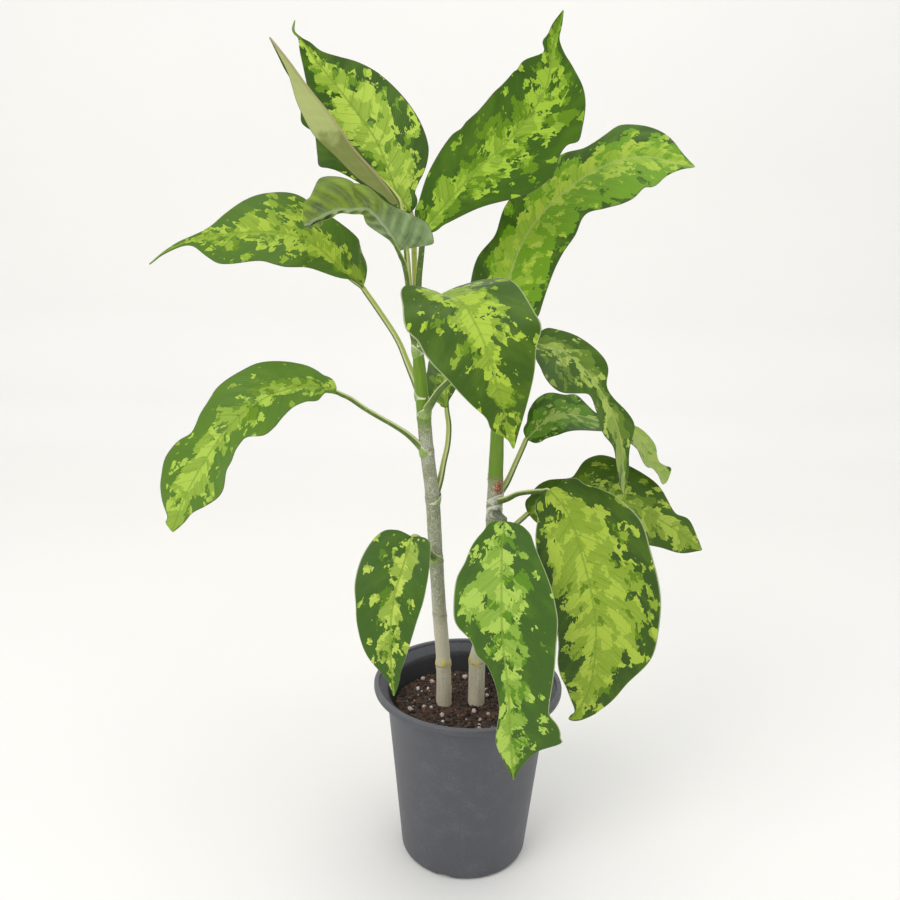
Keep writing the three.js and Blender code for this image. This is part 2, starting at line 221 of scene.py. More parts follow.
pot = piece_from("nursery_pot", turned(POT_PROFILE, POT_STEPS))
for angle in NOTCH_ANGLES:
    cut = bmesh.new()
    bmesh.ops.create_cube(cut, size=MM)
    bmesh.ops.scale(cut, vec=NOTCH_SIZE, verts=cut.verts)
    bmesh.ops.translate(cut, vec=(NOTCH_RADIUS * MM, 0, 0), verts=cut.verts)
    upper = [e for e in cut.edges if all(v.co.z > 0 for v in e.verts)]
    bmesh.ops.bevel(
        cut, geom=upper, offset=NOTCH_ROUNDING * MM, affect="EDGES", segments=4, profile=0.5,
        material=-1,
    )
    bmesh.ops.rotate(cut, matrix=Matrix.Rotation(math.radians(angle), 3, "Z"), verts=cut.verts)
    cut_out(pot, piece_from("notch_cutter", cut))
pot.data.set_sharp_from_angle(angle=SHARP_ANGLE)

# Faint streaks run down it, the lip is worn pale, and the inner wall is darkened, partly by
# damp
# soil and partly as painted shade: it lies inside a cone that runs half way through the wall.
plastic = finish(
    "dark grey pot plastic", (0.078, 0.08, 0.092), Roughness=0.5, Specular_IOR_Level=0.42
)
mottle = plastic.placed(speckle, scale=90, grain=9, contrast=0.5)
place = plastic.place()
height = plastic.split(place)["Z"]
drawn = plastic.noise(plastic.stretched(place, (1, 1, 0.03)), 260, 2)
dust = plastic.ramp(mottle["Shade"], -0.05, 0.25)
colour = plastic.mixed(dust, (0.068, 0.07, 0.081), (0.105, 0.107, 0.118))
colour = plastic.mixed(plastic.times(drawn, 0.2), colour, (0.12, 0.12, 0.13))
lip = plastic.ramp(height, 0.1165, 0.118)
colour = plastic.mixed(plastic.times(lip, 0.35), colour, (0.19, 0.19, 0.2))
# The inner wall's darkening is partly damp soil and partly painted shade.
flat = plastic.stretched(place, (1, 1, 0))
radius = plastic.node("VectorMath", {0: flat}, operation="LENGTH")["Value"]
slack = plastic.minus(radius, plastic.scaled(height, 0.1018, 0.04))
damp_and_shade = plastic.times(plastic.ramp(slack, 0.0001, -0.0004), plastic.ramp(height, 0.05, 0.06))
colour = plastic.mixed(plastic.times(damp_and_shade, 0.55), colour, (0.02, 0.019, 0.018))
plastic.give(Base_Color=colour, Roughness=plastic.scaled(mottle["Shade"], 0.3, 0.5))
plastic.relief(mottle["Height"], 0.00012)
pot.data.materials.clear()
pot.data.materials.append(plastic.material)
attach(pot, "root")
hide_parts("pot")

# ---- Potting mix --------------------------------------------------------------------------
# Dark brown peat and fine bark that fills the pot to 18 mm below its rim. Its top is crumbly,
# with loose crumbs and short fibres, and white grains of perlite lie in it.

MIX_TOP = 100
MIX_RADIUS = 48.6
MIX_FOOT = [(0, 2.4), (38.6, 2.4), (48, 96)]
MIX_RINGS = 34
MIX_STEPS = 150
MIX_RISE, MIX_CRUMB, MIX_DIP = 1.5, 1.1, 1.6
CANE_FEET = ((-15, 2), (6, 4))
CANE_GAP = 5
FULL_TURN = 6.3
LUMP_KNOCKS = 0.28
dice = random.Random(11)


def mix_height(x, y):
    """The height of the mix at a place in millimetres."""
    away = min(1, math.hypot(x, y) / MIX_RADIUS)
    rise = MIX_RISE * noise.fractal(Vector((x * 0.06, y * 0.06, 4)), 1, 2, 3)
    crumb = MIX_CRUMB * noise.fractal(Vector((x * 0.32, y * 0.32, 9)), 0.9, 2, 3)
    return MIX_TOP + rise + crumb - MIX_DIP * away ** 6


steps_in = [(MIX_RADIUS * (MIX_RINGS - k) / MIX_RINGS, MIX_TOP) for k in range(MIX_RINGS + 1)]
mix_shape = turned(MIX_FOOT + steps_in, MIX_STEPS)
for v in mix_shape.verts:
    if v.co.z > (MIX_TOP - 1) * MM:
        v.co.z = mix_height(v.co.x / MM, v.co.y / MM) * MM
mix = piece_from("potting_mix_fill", mix_shape)

earth = finish(
    "damp potting mix", (0.02, 0.012, 0.009), Roughness=0.95, Specular_IOR_Level=0.25
)
crumbs = earth.placed(speckle, scale=420, grain=3, contrast=1)
shade = earth.ramp(crumbs["Shade"], -0.1, 0.25)
colour = earth.mixed(shade, (0.024, 0.018, 0.015), (0.13, 0.1, 0.082))
patch = earth.ramp(earth.noise(earth.place(), 60, 2), 0.5, 0.7)
earth.give(Base_Color=earth.mixed(patch, colour, (0.12, 0.066, 0.05)))
earth.relief(crumbs["Height"], 0.0006)
mix.data.materials.append(earth.material)
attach(mix, "root")
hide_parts("potting_mix")


def scattered(count, largest):
    """Places on the mix, in millimetres, away from the wall and the canes."""
    found = []
    while len(found) < count:
        x = dice.uniform(-MIX_RADIUS, MIX_RADIUS)
        y = dice.uniform(-MIX_RADIUS, MIX_RADIUS)
        clear = all(math.hypot(x - a, y - b) > CANE_GAP + largest for a, b in CANE_FEET)
        if math.hypot(x, y) < MIX_RADIUS - largest and clear:
            found.append((x, y))
    return found


def lumps(shape, spots, small, large, roundness, fineness, sunk):
    """Adds irregular lumps to a bmesh, each with its own tone in the layer 'tone'."""
    tones = shape.verts.layers.float["tone"]
    for x, y in spots:
        size = small + (large - small) * dice.random() ** 2
        made = bmesh.ops.create_icosphere(shape, subdivisions=fineness, radius=0.5 * size * MM)
        turn, tip = (Matrix.Rotation(dice.uniform(0, FULL_TURN), 4, axis) for axis in "ZX")
        spin = turn @ tip
        wide, tall = dice.uniform(roundness, 1), dice.uniform(roundness, 1)
        stretch = Matrix.Diagonal((1, wide, tall, 1))
        middle = mix_height(x, y) + size * (0.5 - sunk)
        move = Matrix.Translation(Vector((x, y, middle)) * MM)
        tone_here = dice.random()
        for v in made["verts"]:
            knock = LUMP_KNOCKS * noise.noise(v.co / (size * MM) * 2.4 + Vector((x, y, 1)))
            v.co = move @ spin @ stretch @ (v.co * (1 + knock))
            v[tones] = tone_here


crumb_shape = bmesh.new()
tones = crumb_shape.verts.layers.float.new("tone")
lumps(
    crumb_shape, scattered(1500, largest=1.5), small=0.7, large=3.2, roundness=0.45,
    fineness=1, sunk=0.35,
)
for x, y in scattered(170, largest=3):
    fibre = bmesh.ops.create_cone(
        crumb_shape, segments=4, radius1=0.22 * MM, radius2=0.12 * MM,
        depth=dice.uniform(3, 8) * MM, cap_ends=True, cap_tris=True,
    )["verts"]
    lean = Matrix.Rotation(math.radians(dice.uniform(68, 104)), 4, "Y")
    turn = Matrix.Rotation(dice.uniform(0, FULL_TURN), 4, "Z")
    move = Matrix.Translation(Vector((x, y, mix_height(x, y) + 0.7)) * MM)
    for v in fibre:
        v.co = move @ turn @ lean @ v.co
        v[tones] = dice.uniform(0.6, 1)
loose = piece_from("mix_crumbs_and_fibres", crumb_shape, smooth=False)

bark = finish("bark crumbs", (0.03, 0.016, 0.012), Roughness=0.9, Specular_IOR_Level=0.3)
tone = bark.attribute("tone")
grain = bark.placed(speckle, scale=900, grain=3, contrast=1)
colour = bark.mixed(bark.ramp(tone, 0.1, 0.75), (0.03, 0.02, 0.016), (0.13, 0.085, 0.06))
colour = bark.mixed(bark.ramp(tone, 0.86, 0.98), colour, (0.2, 0.085, 0.045))
colour = bark.mixed(bark.ramp(grain["Shade"], 0, 0.4), colour, (0.1, 0.06, 0.045))
bark.give(Base_Color=colour)
bark.relief(grain["Height"], 0.0002)
loose.data.materials.append(bark.material)
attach(loose, "root")

PERLITE_SEEN = [
    (-29.7, 33.3), (-32.5, 18.3), (-25.9, 18.6), (-23.4, 28.1), (-1, 34.8), (-16, -13.6),
    (-36.6, -7.3), (-27.7, -4.5), (13.2, 10), (4.3, -9.1), (13.2, -11.1), (7.9, -17.3),
]
grain_shape = bmesh.new()
grain_shape.verts.layers.float.new("tone")
lumps(
    grain_shape, PERLITE_SEEN, small=2.6, large=4.2, roundness=0.7, fineness=2, sunk=0.25
)
lumps(
    grain_shape, scattered(60, largest=2), small=0.8, large=3, roundness=0.65, fineness=2,
    sunk=0.3,
)
perlite = piece_from("perlite_grains", grain_shape)
chalk = finish("white perlite", (0.72, 0.66, 0.6), Roughness=0.85, Specular_IOR_Level=0.35)
pits = chalk.placed(speckle, scale=700, grain=3, contrast=1.4)
colour = chalk.mixed(chalk.attribute("tone"), (0.78, 0.74, 0.7), (0.6, 0.42, 0.34))
colour = chalk.mixed(chalk.ramp(pits["Shade"], 0.05, 0.4), colour, (0.3, 0.2, 0.15))
chalk.give(Base_Color=colour)
chalk.relief(pits["Height"], 0.0004)
perlite.data.materials.append(chalk.material)
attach(perlite, "root")

# ---- The two canes ------------------------------------------------------------------------
# Bare upright stems with a grey-green, finely speckled skin. Rings mark where old leaves
# were, low buds swell at the lowest ring, and the young tops are smooth and green.

CANE_AROUND = 28
CANE_ROWS = 260
COURSE_PARTS = 40
ROLL_PARTS = 400
RING_TILT, RING_TURN = 0.9, 2.2
RING_RISE, RING_SPREAD = 0.42, 2.2
GROOVE_DEPTH, GROOVE_UP, GROOVE_WIDTH, LINE_WIDTH = 0.4, 0.4, 0.42, 0.45
UNEVENNESS = 0.16


def smooth_value(pairs, x):
    """A smooth value between (place, value) pairs, by cubic pieces."""
    last = len(pairs) - 1
    x = min(max(x, pairs[0][0]), pairs[last][0])
    i = 0
    while i < last - 1 and x > pairs[i + 1][0]:
        i += 1

    def slope(k):
        (x0, y0), (x1, y1) = pairs[max(k - 1, 0)], pairs[min(k + 1, last)]
        return (y1 - y0) / (x1 - x0)

    (x0, y0), (x1, y1) = pairs[i], pairs[i + 1]
    span = x1 - x0
    f = (x - x0) / span
    bends = f * (1 - f) ** 2 * slope(i) + f * f * (f - 1) * slope(i + 1)
    return y0 + (y1 - y0) * (3 - 2 * f) * f * f + bends * span


class Course:
    """A smooth line through points in millimetres, followed by its length."""

    def __init__(self, points):
        points = [Vector(p) for p in points]
        knots = [2 * points[0] - points[1], *points, 2 * points[-1] - points[-2]]
        self.line = []
        for a, b, c, d in zip(knots, knots[1:], knots[2:], knots[3:]):
            for f in (k / COURSE_PARTS for k in range(COURSE_PARTS)):
                turn = (2 * a - 5 * b + 4 * c - d) * f * f + (3 * b - a - 3 * c + d) * f ** 3
                self.line.append((2 * b + (c - a) * f + turn) / 2)
        self.line.append(points[-1])
        self.lengths = [0]
        for a, b in zip(self.line, self.line[1:]):
            self.lengths.append(self.lengths[-1] + (b - a).length)
        self.length = self.lengths[-1]

    def at(self, t):
        goal = min(max(t, 0), 1) * self.length
        low, high = 0, len(self.line) - 1
        while high - low > 1:
            middle = (low + high) // 2
            if self.lengths[middle] <= goal:
                low = middle
            else:
                high = middle
        f = (goal - self.lengths[low]) / (self.lengths[high] - self.lengths[low])
        return self.line[low].lerp(self.line[high], f)

    def way(self, t):
        return (self.at(min(t + 0.004, 1)) - self.at(max(t - 0.004, 0))).normalized()

    def carried(self, start, steps):
        """A direction carried along the course, square to it at every step."""
        found = [square_to(Vector(start), self.way(0))]
        for k in range(1, steps + 1):
            found.append(square_to(found[-1], self.way(k / steps)))
        return found


def square_to(v, way):
    """The part of v that is square to a way, one long."""
    return (v - way * v.dot(way)).normalized()


def faces_of(verts):
    """The faces at some vertices, each one once and always in the same order."""
    return list(dict.fromkeys(f for v in verts for f in v.link_faces))


def rolled(shape, course, start, around, rows, reach):
    """Rolls a grid into a closed tube along a course. reach(t, angle, centre) gives the
    radius in millimetres; angle 0 points to start, which is carried along the course."""
    before = set(shape.verts)
    sheet = bmesh.ops.create_grid(
        shape, x_segments=around, y_segments=rows, size=0.5, calc_uvs=True
    )["verts"]
    overs = course.carried(start, ROLL_PARTS)
    for v in sheet:
        t = v.co.y + 0.5
        angle = 2 * math.pi * v.co.x
        way, over, centre = course.way(t), overs[round(ROLL_PARTS * t)], course.at(t)
        out = over * math.cos(angle) + way.cross(over) * math.sin(angle)
        v.co = (centre + out * reach(t, angle, centre)) * MM
    bmesh.ops.remove_doubles(shape, verts=sheet, dist=1e-7)
    tube = [v for v in shape.verts if v not in before]
    rims = dict.fromkeys(e for v in tube for e in v.link_edges if e.is_boundary)
    bmesh.ops.holes_fill(shape, edges=list(rims), sides=0)
    bmesh.ops.recalc_face_normals(shape, faces=faces_of(tube))
    return tube


# Grey-green cane skin: how green it is goes with the height, and the rings show as lines.
skin = cane_skin = effect(
    "cane skin", ("Colour", "Height", "Roughness"), Young_from=0.25, Young_to=0.3
)
place = skin.place()
height = skin.split(place)["Z"]
young = skin.ramp(height, skin.takes["Young from"], skin.takes["Young to"])
stretch = skin.stretched(place, (1, 1, 0.7))
spots = skin.noise(stretch, 1300, 3)
clouds = skin.noise(stretch, 140, 3)
fibres = skin.noise(skin.stretched(place, (1, 1, 0.04)), 1100, 2)
# Near the foot the old skin is pale beige, its own colour, and it is painted brighter still as
# painted light where the foot stands in shade low in the pot.
low_down = skin.ramp(height, 0.19, 0.11)
old = skin.mixed(skin.ramp(clouds, 0.35, 0.65), (0.25, 0.27, 0.16), (0.36, 0.37, 0.27))
old = skin.mixed(skin.times(low_down, 0.95), old, (0.95, 0.88, 0.7))
old = skin.mixed(skin.ramp(spots, 0.52, 0.7), old, (0.6, 0.6, 0.46))
old = skin.mixed(skin.times(low_down, fibres), old, (0.5, 0.43, 0.28))
specks = skin.times(skin.ramp(spots, 0.44, 0.3), skin.ramp(height, 0.12, 0.19))
old = skin.mixed(specks, old, (0.2, 0.23, 0.12))
fresh = skin.mixed(fibres, (0.08, 0.18, 0.008), (0.2, 0.33, 0.025))
colour = skin.mixed(young, old, fresh)
colour = skin.mixed(skin.times(skin.attribute("ring"), 0.75), colour, (0.2, 0.17, 0.09))
colour = skin.mixed(skin.attribute("bud"), colour, (0.72, 0.6, 0.15))
rust = skin.mixed(skin.ramp(spots, 0.45, 0.6), (0.2, 0.045, 0.02), (0.6, 0.28, 0.18))
colour = skin.mixed(skin.attribute("scar"), colour, rust)
height = skin.maths("ADD", spots, fibres)
skin.give(Colour=colour, Height=height, Roughness=skin.scaled(young, -0.2, 0.62))


def make_cane(name, replaced, line, radii, rings, buds, scars, young):
    """A cane along its line. A bud or scar is (height, angle, radius, how proud)."""
    shape = bmesh.new()
    shape.loops.layers.uv.new("UVMap")
    masks = {key: shape.verts.layers.float.new(key) for key in ("ring", "bud", "scar")}
    course = Course(line)
    course.radii = radii

    def ring_heights(angle):
        return [
            at + RING_TILT * math.sin(angle + RING_TURN * k) for k, at in enumerate(rings)
        ]

    def mark(z, angle, r, spot):
        turned_by = (angle - math.radians(spot[1]) + math.pi) % (2 * math.pi) - math.pi
        far = math.hypot((z - spot[0]) / spot[2], turned_by * r / (0.8 * spot[2]))
        return math.exp(-far ** 2 * 1.4)

    def reach(t, angle, centre):
        z = centre.z
        r = smooth_value(radii, z)
        for ring in ring_heights(angle):
            r += RING_RISE * math.exp(-((z - ring) / RING_SPREAD) ** 2)
            r -= GROOVE_DEPTH * math.exp(-((z - ring - GROOVE_UP) / GROOVE_WIDTH) ** 2)
        around = Vector((math.cos(angle), math.sin(angle), z * 0.06))
        r += UNEVENNESS * noise.noise(around * 1.6)
        for spot in buds + scars:
            r += spot[3] * mark(z, angle, r, spot)
        return r

    for v in rolled(shape, course, (0, -1, 0), CANE_AROUND, CANE_ROWS, reach):
        z = v.co.z / MM
        centre = min(course.line, key=lambda p: abs(p.z - z))
        angle = math.atan2(v.co.x / MM - centre.x, centre.y - v.co.y / MM)
        r = smooth_value(radii, z)
        off = min(abs(z - ring - GROOVE_UP) for ring in ring_heights(angle))
        v[masks["ring"]] = math.exp(-(off / LINE_WIDTH) ** 2)
        v[masks["bud"]] = min(1, 1.5 * sum(mark(z, angle, r, spot) for spot in buds))
        v[masks["scar"]] = min(1, 1.6 * sum(mark(z, angle, r, spot) for spot in scars))
    cane = piece_from(name, shape)
    skin = finish(name + " skin", (0.3, 0.32, 0.2), Specular_IOR_Level=0.35)
    look = skin.placed(cane_skin, young_from=young[0] * MM, young_to=young[1] * MM)
    skin.give(Base_Color=look["Colour"], Roughness=look["Roughness"])
    skin.relief(look["Height"], 0.00025)
    cane.data.materials.append(skin.material)
    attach(cane, "root")
    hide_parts(replaced)
    return course


left_cane = make_cane(
    "left_cane_stem", "left_cane",
    line=[
        (-15, 2, 72), (-15, 2, 100), (-16, 1, 130), (-19, 0, 163), (-22, 0, 200),
        (-25, 0, 240), (-29, 0, 270), (-31, 0, 290), (-34, 0, 318), (-37, 0, 352),
    ],
    radii=[
        (72, 4.6), (100, 5), (130, 4.6), (163, 4.4), (240, 4.3), (290, 4.1), (318, 3.8),
        (352, 1.6),
    ],
    rings=[128, 163, 200, 240, 270, 290],
    buds=[(131, 5, 2.6, 1.1), (129.5, 70, 2.2, 0.8), (130, -75, 2.2, 0.8)], scars=[],
    young=(278, 292),
)
right_cane = make_cane(
    "right_cane_stem", "right_cane",
    line=[
        (6, 4, 72), (6, 4, 100), (6, 4, 130), (9, 4, 145), (12, 3, 172),
        (13, 3, 205), (13, 2, 240), (13, 2, 286), (12, 3, 340),
    ],
    radii=[
        (72, 4.8), (100, 5.4), (130, 5.2), (145, 5.4), (205, 4.9), (244, 4.6), (270, 4.3),
        (340, 1.8),
    ],
    rings=[129, 172, 226, 236, 252],
    buds=[(131, -72, 3, 1.0), (130, 0, 2.2, 0.4)], scars=[(248, 26, 4.2, 0.5)],
    young=(246, 256),
)

# ---- What every leaf has ------------------------------------------------------------------
# A leathery blade on a long channelled stalk with thin pale edges; the stalk's foot clasps
# the cane. The blade is patched in three greens that follow its side veins, and the under
# side is matt and paler.

BLADE_THICKNESS = 0.55
RIB_THICKNESS = 1.5
BLADE_BASE_HALF = 1.6
BLADE_TIP_HALF = 0.35
BASE_ROUNDING = 0.06
BLADE_ACROSS = 26
BLADE_ALONG = 84
CROWDING = 1.15
MIDRIB_GROOVE, MIDRIB_HALF = 0.35, 0.9
ROLL_FROM = 0.45
VEIN_LEAN = 0.75
VEIN_CURVE = 0.006
VEIN_SPACING = 7.5
UPPER, UNDER, MARGIN, STALK, SHEATH = range(5)
STALK_AROUND = 22
STALK_ROWS = 56
STALK_PARTS = 200
STALK_RADII = [(0, 3.2), (0.12, 2.3), (0.3, 1.75), (0.8, 1.5), (1, 0.3)]
WING_HEIGHTS = [(0, 1), (0.35, 1), (0.6, 0.6), (0.9, 0.25), (1, 0)]
WING_ANGLE, WING_WIDTH, WING_RISE = 0.95, 0.24, 0.55
FRONT_FLATNESS, FRONT_WIDTH = 0.3, 0.8
STALK_LEAN = 0.9
SEAT_DEPTHS = ((0, 2), (0.08, 2.4), (0.16, 1.6))
SHEATH_THICKNESS = 0.35
SHEATH_BITE = 0.15
SHEATH_WRAP = 0.94
SHEATH_ACROSS, SHEATH_ROWS = 40, 8
FOOT_BELOW, FOOT_ABOVE = 5, 7
SEED_STEP = 17.3


def leaf_axes(tree):
    """A point's place on its blade: the whole vector, its parts (millimetres to the side and
    along, part of the way to the margin), the distance from the midrib, and where along the
    midrib the side vein through it starts."""
    spot = tree.attribute("leaf_place", "Vector")
    axes = tree.split(spot)
    across = tree.maths("ABSOLUTE", axes["X"])
    lean = tree.times(across, VEIN_LEAN)
    bend = tree.times(across, across, VEIN_CURVE)
    return spot, axes, across, tree.minus(axes["Y"], lean, bend)


# Patches on the upper side: small cells, stretched along the side veins, are lime, green or
# dark as a whole, which gives the patches their hard jagged edges.
tree = patches = effect(
    "leaf patches", ("Colour", "Height", "Pale"),
    Seed=0, Raggedness=1.6, Blotches=0.5, Mottling=0.5, Patch_size=1,
    Lime=(0.36, 0.5, 0.05), Green=(0.13, 0.25, 0.012), Dark=(0.036, 0.085, 0.006),
    Rib=(0.2, 0.32, 0.03), Edge=(0.1, 0.1, 0.04),
)
takes = tree.takes
spot, axes, across, foot = leaf_axes(tree)
edge_part = axes["Z"]
rooms = tree.split(tree.attribute("patch_room", "Vector"))
flat = tree.node("CombineXYZ", {"X": axes["X"], "Y": foot, "Z": takes["Seed"]})[0]
swept = tree.scaled(across, -0.4, axes["Y"])
sized = tree.node("CombineXYZ", {"X": axes["X"], "Y": swept, "Z": takes["Seed"]})[0]
sized = tree.node("VectorMath", {0: sized, 3: takes["Patch size"]}, operation="SCALE")[0]
wobble = tree.noise(sized, 0.22, 1, "Color")
shaken = tree.vector("MULTIPLY_ADD", wobble, (5, 5, 0), sized)
blocks = tree.cells(tree.stretched(shaken, (1.1, 1, 1)), 0.72)["Position"]
broad = tree.noise(blocks, 0.1, 1.6)
second = tree.noise(tree.vector("ADD", blocks, (37, 11, 5)), 0.1, 1.8)
field = tree.times(tree.minus(broad, 0.5), takes["Raggedness"])
amount = tree.maths("ADD", field, tree.minus(rooms["X"], edge_part))
islands = tree.cells(blocks, 0.12)
chance = tree.node("SeparateColor", {"Color": islands["Color"]})["Red"]
away = tree.times(tree.maths("ABSOLUTE", amount), 0.25)
island_size = tree.minus(tree.times(chance, takes["Blotches"]), away)
island = tree.maths("LESS_THAN", islands["Distance"], island_size)
lime = tree.maths("ABSOLUTE", tree.minus(tree.ramp(amount, -0.01, 0.01), island))
green_field = tree.scaled(second, 3, -1.5)
green_room = tree.minus(rooms["Y"], edge_part)
green = tree.ramp(tree.maths("ADD", green_field, green_room), -0.01, 0.01)
dots = tree.cells(flat, 0.3)
dot_tone = tree.node("SeparateColor", {"Color": dots["Color"]})["Red"]
dot = tree.times(tree.ramp(dots["Distance"], 0.2, 0.15), tree.ramp(dot_tone, 0.8, 0.82))
dot = tree.times(dot, tree.ramp(edge_part, 0.96, 0.9))
streak = tree.noise(tree.stretched(flat, (0.1, 0.8, 1)), 1, 3)
dull = tree.times(tree.ramp(green_field, -0.03, -0.01), takes["Mottling"])
lime_tone = tree.mixed(dull, takes["Lime"], takes["Green"])
streak = tree.times(tree.ramp(streak, 0.45, 0.75), 0.2)
lime_tone = tree.mixed(streak, lime_tone, (0.5, 0.58, 0.16))
dark_soft = tree.times(tree.ramp(tree.noise(flat, 0.07, 2), 0.42, 0.7), 0.28)
dark_tone = tree.mixed(dark_soft, takes["Dark"], takes["Green"])
colour = tree.mixed(tree.times(green, 0.85), dark_tone, takes["Green"])
colour = tree.mixed(lime, colour, lime_tone)
colour = tree.mixed(tree.times(dot, 0.6), colour, takes["Lime"])
vein = tree.ramp(tree.maths("PINGPONG", foot, VEIN_SPACING / 2), 0.4, 0.05)
vein = tree.times(vein, tree.ramp(edge_part, 0.9, 0.3))
rib = tree.ramp(across, 0.7, 0.3)
colour = tree.mixed(tree.times(vein, 0.07), colour, takes["Rib"])
colour = tree.mixed(tree.times(rib, 0.7), colour, takes["Rib"])
edge_line = tree.times(tree.ramp(edge_part, 0.97, 0.99), 0.7)
colour = tree.mixed(edge_line, colour, takes["Edge"])
fine_row = tree.maths("PINGPONG", foot, VEIN_SPACING / 10)
hollow = tree.times(tree.maths("ADD", vein, rib), -0.5)
tree.give(Colour=colour, Height=tree.scaled(fine_row, 0.25, hollow), Pale=lime)

# The under side: matt grey-green, with the veins proud, painted shade in the creases beside
# them, and the patches faintly through it.
tree = underside = effect(
    "leaf under side", ("Colour", "Height"),
    Tone=(0.17, 0.25, 0.1), Vein=(0.27, 0.34, 0.16), Far_tone=(0.17, 0.25, 0.1), Far_from=2,
    Veining=1, Valleys=0,
)
takes = tree.takes
spot, axes, across, foot = leaf_axes(tree)
row = tree.maths("PINGPONG", foot, VEIN_SPACING / 2)
# Valleys darkens the tissue either side of each vein: painted shade of the creases.
crease_shade = tree.times(tree.ramp(row, 3.4, 1.2), takes["Valleys"])
vein = tree.times(tree.ramp(row, 0.7, 0.1), takes["Veining"], tree.ramp(axes["Z"], 1, 0.4))
rib = tree.ramp(across, 1.5, 0.8)
cloud = tree.noise(spot, 0.12, 3)
part = tree.split(tree.node("UVMap", {}, uv_map="UVMap")["UV"])["Y"]
part = tree.maths("ADD", part, tree.scaled(cloud, 0.24, -0.12))
far = tree.ramp(tree.minus(part, takes["Far from"]), -0.05, 0.06)
colour = tree.mixed(far, takes["Tone"], takes["Far tone"])
clouded = tree.times(tree.ramp(cloud, 0.4, 0.75), takes["Veining"])
colour = tree.mixed(clouded, colour, (0.13, 0.19, 0.07))
streaks = tree.noise(tree.stretched(spot, (1, 0.06, 0)), 0.9, 3)
streaks = tree.times(tree.ramp(streaks, 0.45, 0.75), 0.3)
colour = tree.mixed(streaks, colour, takes["Vein"])
colour = tree.mixed(crease_shade, colour, (0.06, 0.1, 0.035))
both = tree.maths("MAXIMUM", tree.times(vein, 0.55), rib)
colour = tree.mixed(tree.times(both, 0.7), colour, takes["Vein"])
tree.give(Colour=colour, Height=tree.maths("MAXIMUM", vein, rib))

PALE_EDGE = (0.42, 0.48, 0.24)
BROWN_EDGE = (0.08, 0.075, 0.035)
margins = {}
for name, tone in (("pale leaf margin", PALE_EDGE), ("brown leaf margin", BROWN_EDGE)):
    skin = finish(name, tone, Roughness=0.5)
    shade = skin.placed(speckle, scale=200, grain=3, contrast=1)["Shade"]
    darker = tuple(0.5 * part for part in tone)
    skin.give(Base_Color=skin.mixed(skin.ramp(shade, -0.2, 0.3), tone, darker))
    margins[tone] = skin.material

# Stalks: round behind, flat in front between two thin pale edges, paler at the foot.
skin = finish("leaf stalk", (0.2, 0.3, 0.05), Roughness=0.42, Specular_IOR_Level=0.4)
axes = skin.split(skin.node("UVMap", {}, uv_map="UVMap")["UV"])
front = skin.ramp(skin.maths("ABSOLUTE", skin.minus(axes["X"], 0.5)), 0.25, 0.17)
shade = skin.placed(speckle, scale=160, grain=4, contrast=1)["Shade"]
colour = skin.mixed(front, (0.075, 0.14, 0.015), (0.44, 0.5, 0.09))
colour = skin.mixed(skin.ramp(shade, 0.05, 0.5), colour, (0.26, 0.34, 0.07))
foot_part = skin.times(skin.ramp(axes["Y"], 0.14, 0.02), 0.5)
colour = skin.mixed(foot_part, colour, (0.36, 0.44, 0.16))
colour = skin.mixed(skin.times(skin.attribute("wing"), 0.85), colour, (0.7, 0.72, 0.48))
skin.give(Base_Color=colour)
skin.relief(shade, 0.0001)
stalk_finish = skin.material


def plant_skin(name, colour, rough, gloss, fineness, span, tones, wing=None, depth=0.0001):
    """A skin mottled between two tones, with an own tone for the stalk's thin wings. gloss
    is its specular level; fineness is the speckle's scale, grain and contrast."""
    skin = finish(name, colour, Roughness=rough, Specular_IOR_Level=gloss)
    shade = skin.placed(speckle, **dict(zip(("scale", "grain", "contrast"), fineness)))["Shade"]
    mottled = skin.mixed(skin.ramp(shade, *span), *tones)
    if wing:
        mottled = skin.mixed(skin.attribute("wing"), mottled, wing)
    skin.give(Base_Color=mottled)
    skin.relief(shade, depth)
    return skin.material


sheath_finish = plant_skin(
    "stalk sheath", (0.3, 0.4, 0.14), 0.45, 0.4, (260, 4, 1), (-0.2, 0.4),
    ((0.2, 0.32, 0.06), (0.34, 0.45, 0.16)), (0.74, 0.75, 0.56), 0.00015,
)
# The front leaf's stalk: a dark grey-green skin that is painted shade.
shaded_stalk_finish = plant_skin(
    "shaded stalk", (0.1, 0.12, 0.07), 0.5, 0.3, (160, 4, 1), (-0.3, 0.5),
    ((0.07, 0.09, 0.045), (0.16, 0.19, 0.11)),
)
papery_finish = plant_skin(
    "papery sheath", (0.6, 0.6, 0.5), 0.6, 0.3, (340, 3, 1.4), (-0.1, 0.3),
    ((0.6, 0.6, 0.5), (0.24, 0.27, 0.16)), (0.74, 0.73, 0.64), 0.0003,
)


def half_width(pairs, t):
    rounding = min(t / BASE_ROUNDING, 1)
    opening = math.sqrt(1 - (1 - rounding) ** 2)
    return BLADE_BASE_HALF + (smooth_value(pairs, t) - BLADE_BASE_HALF) * opening


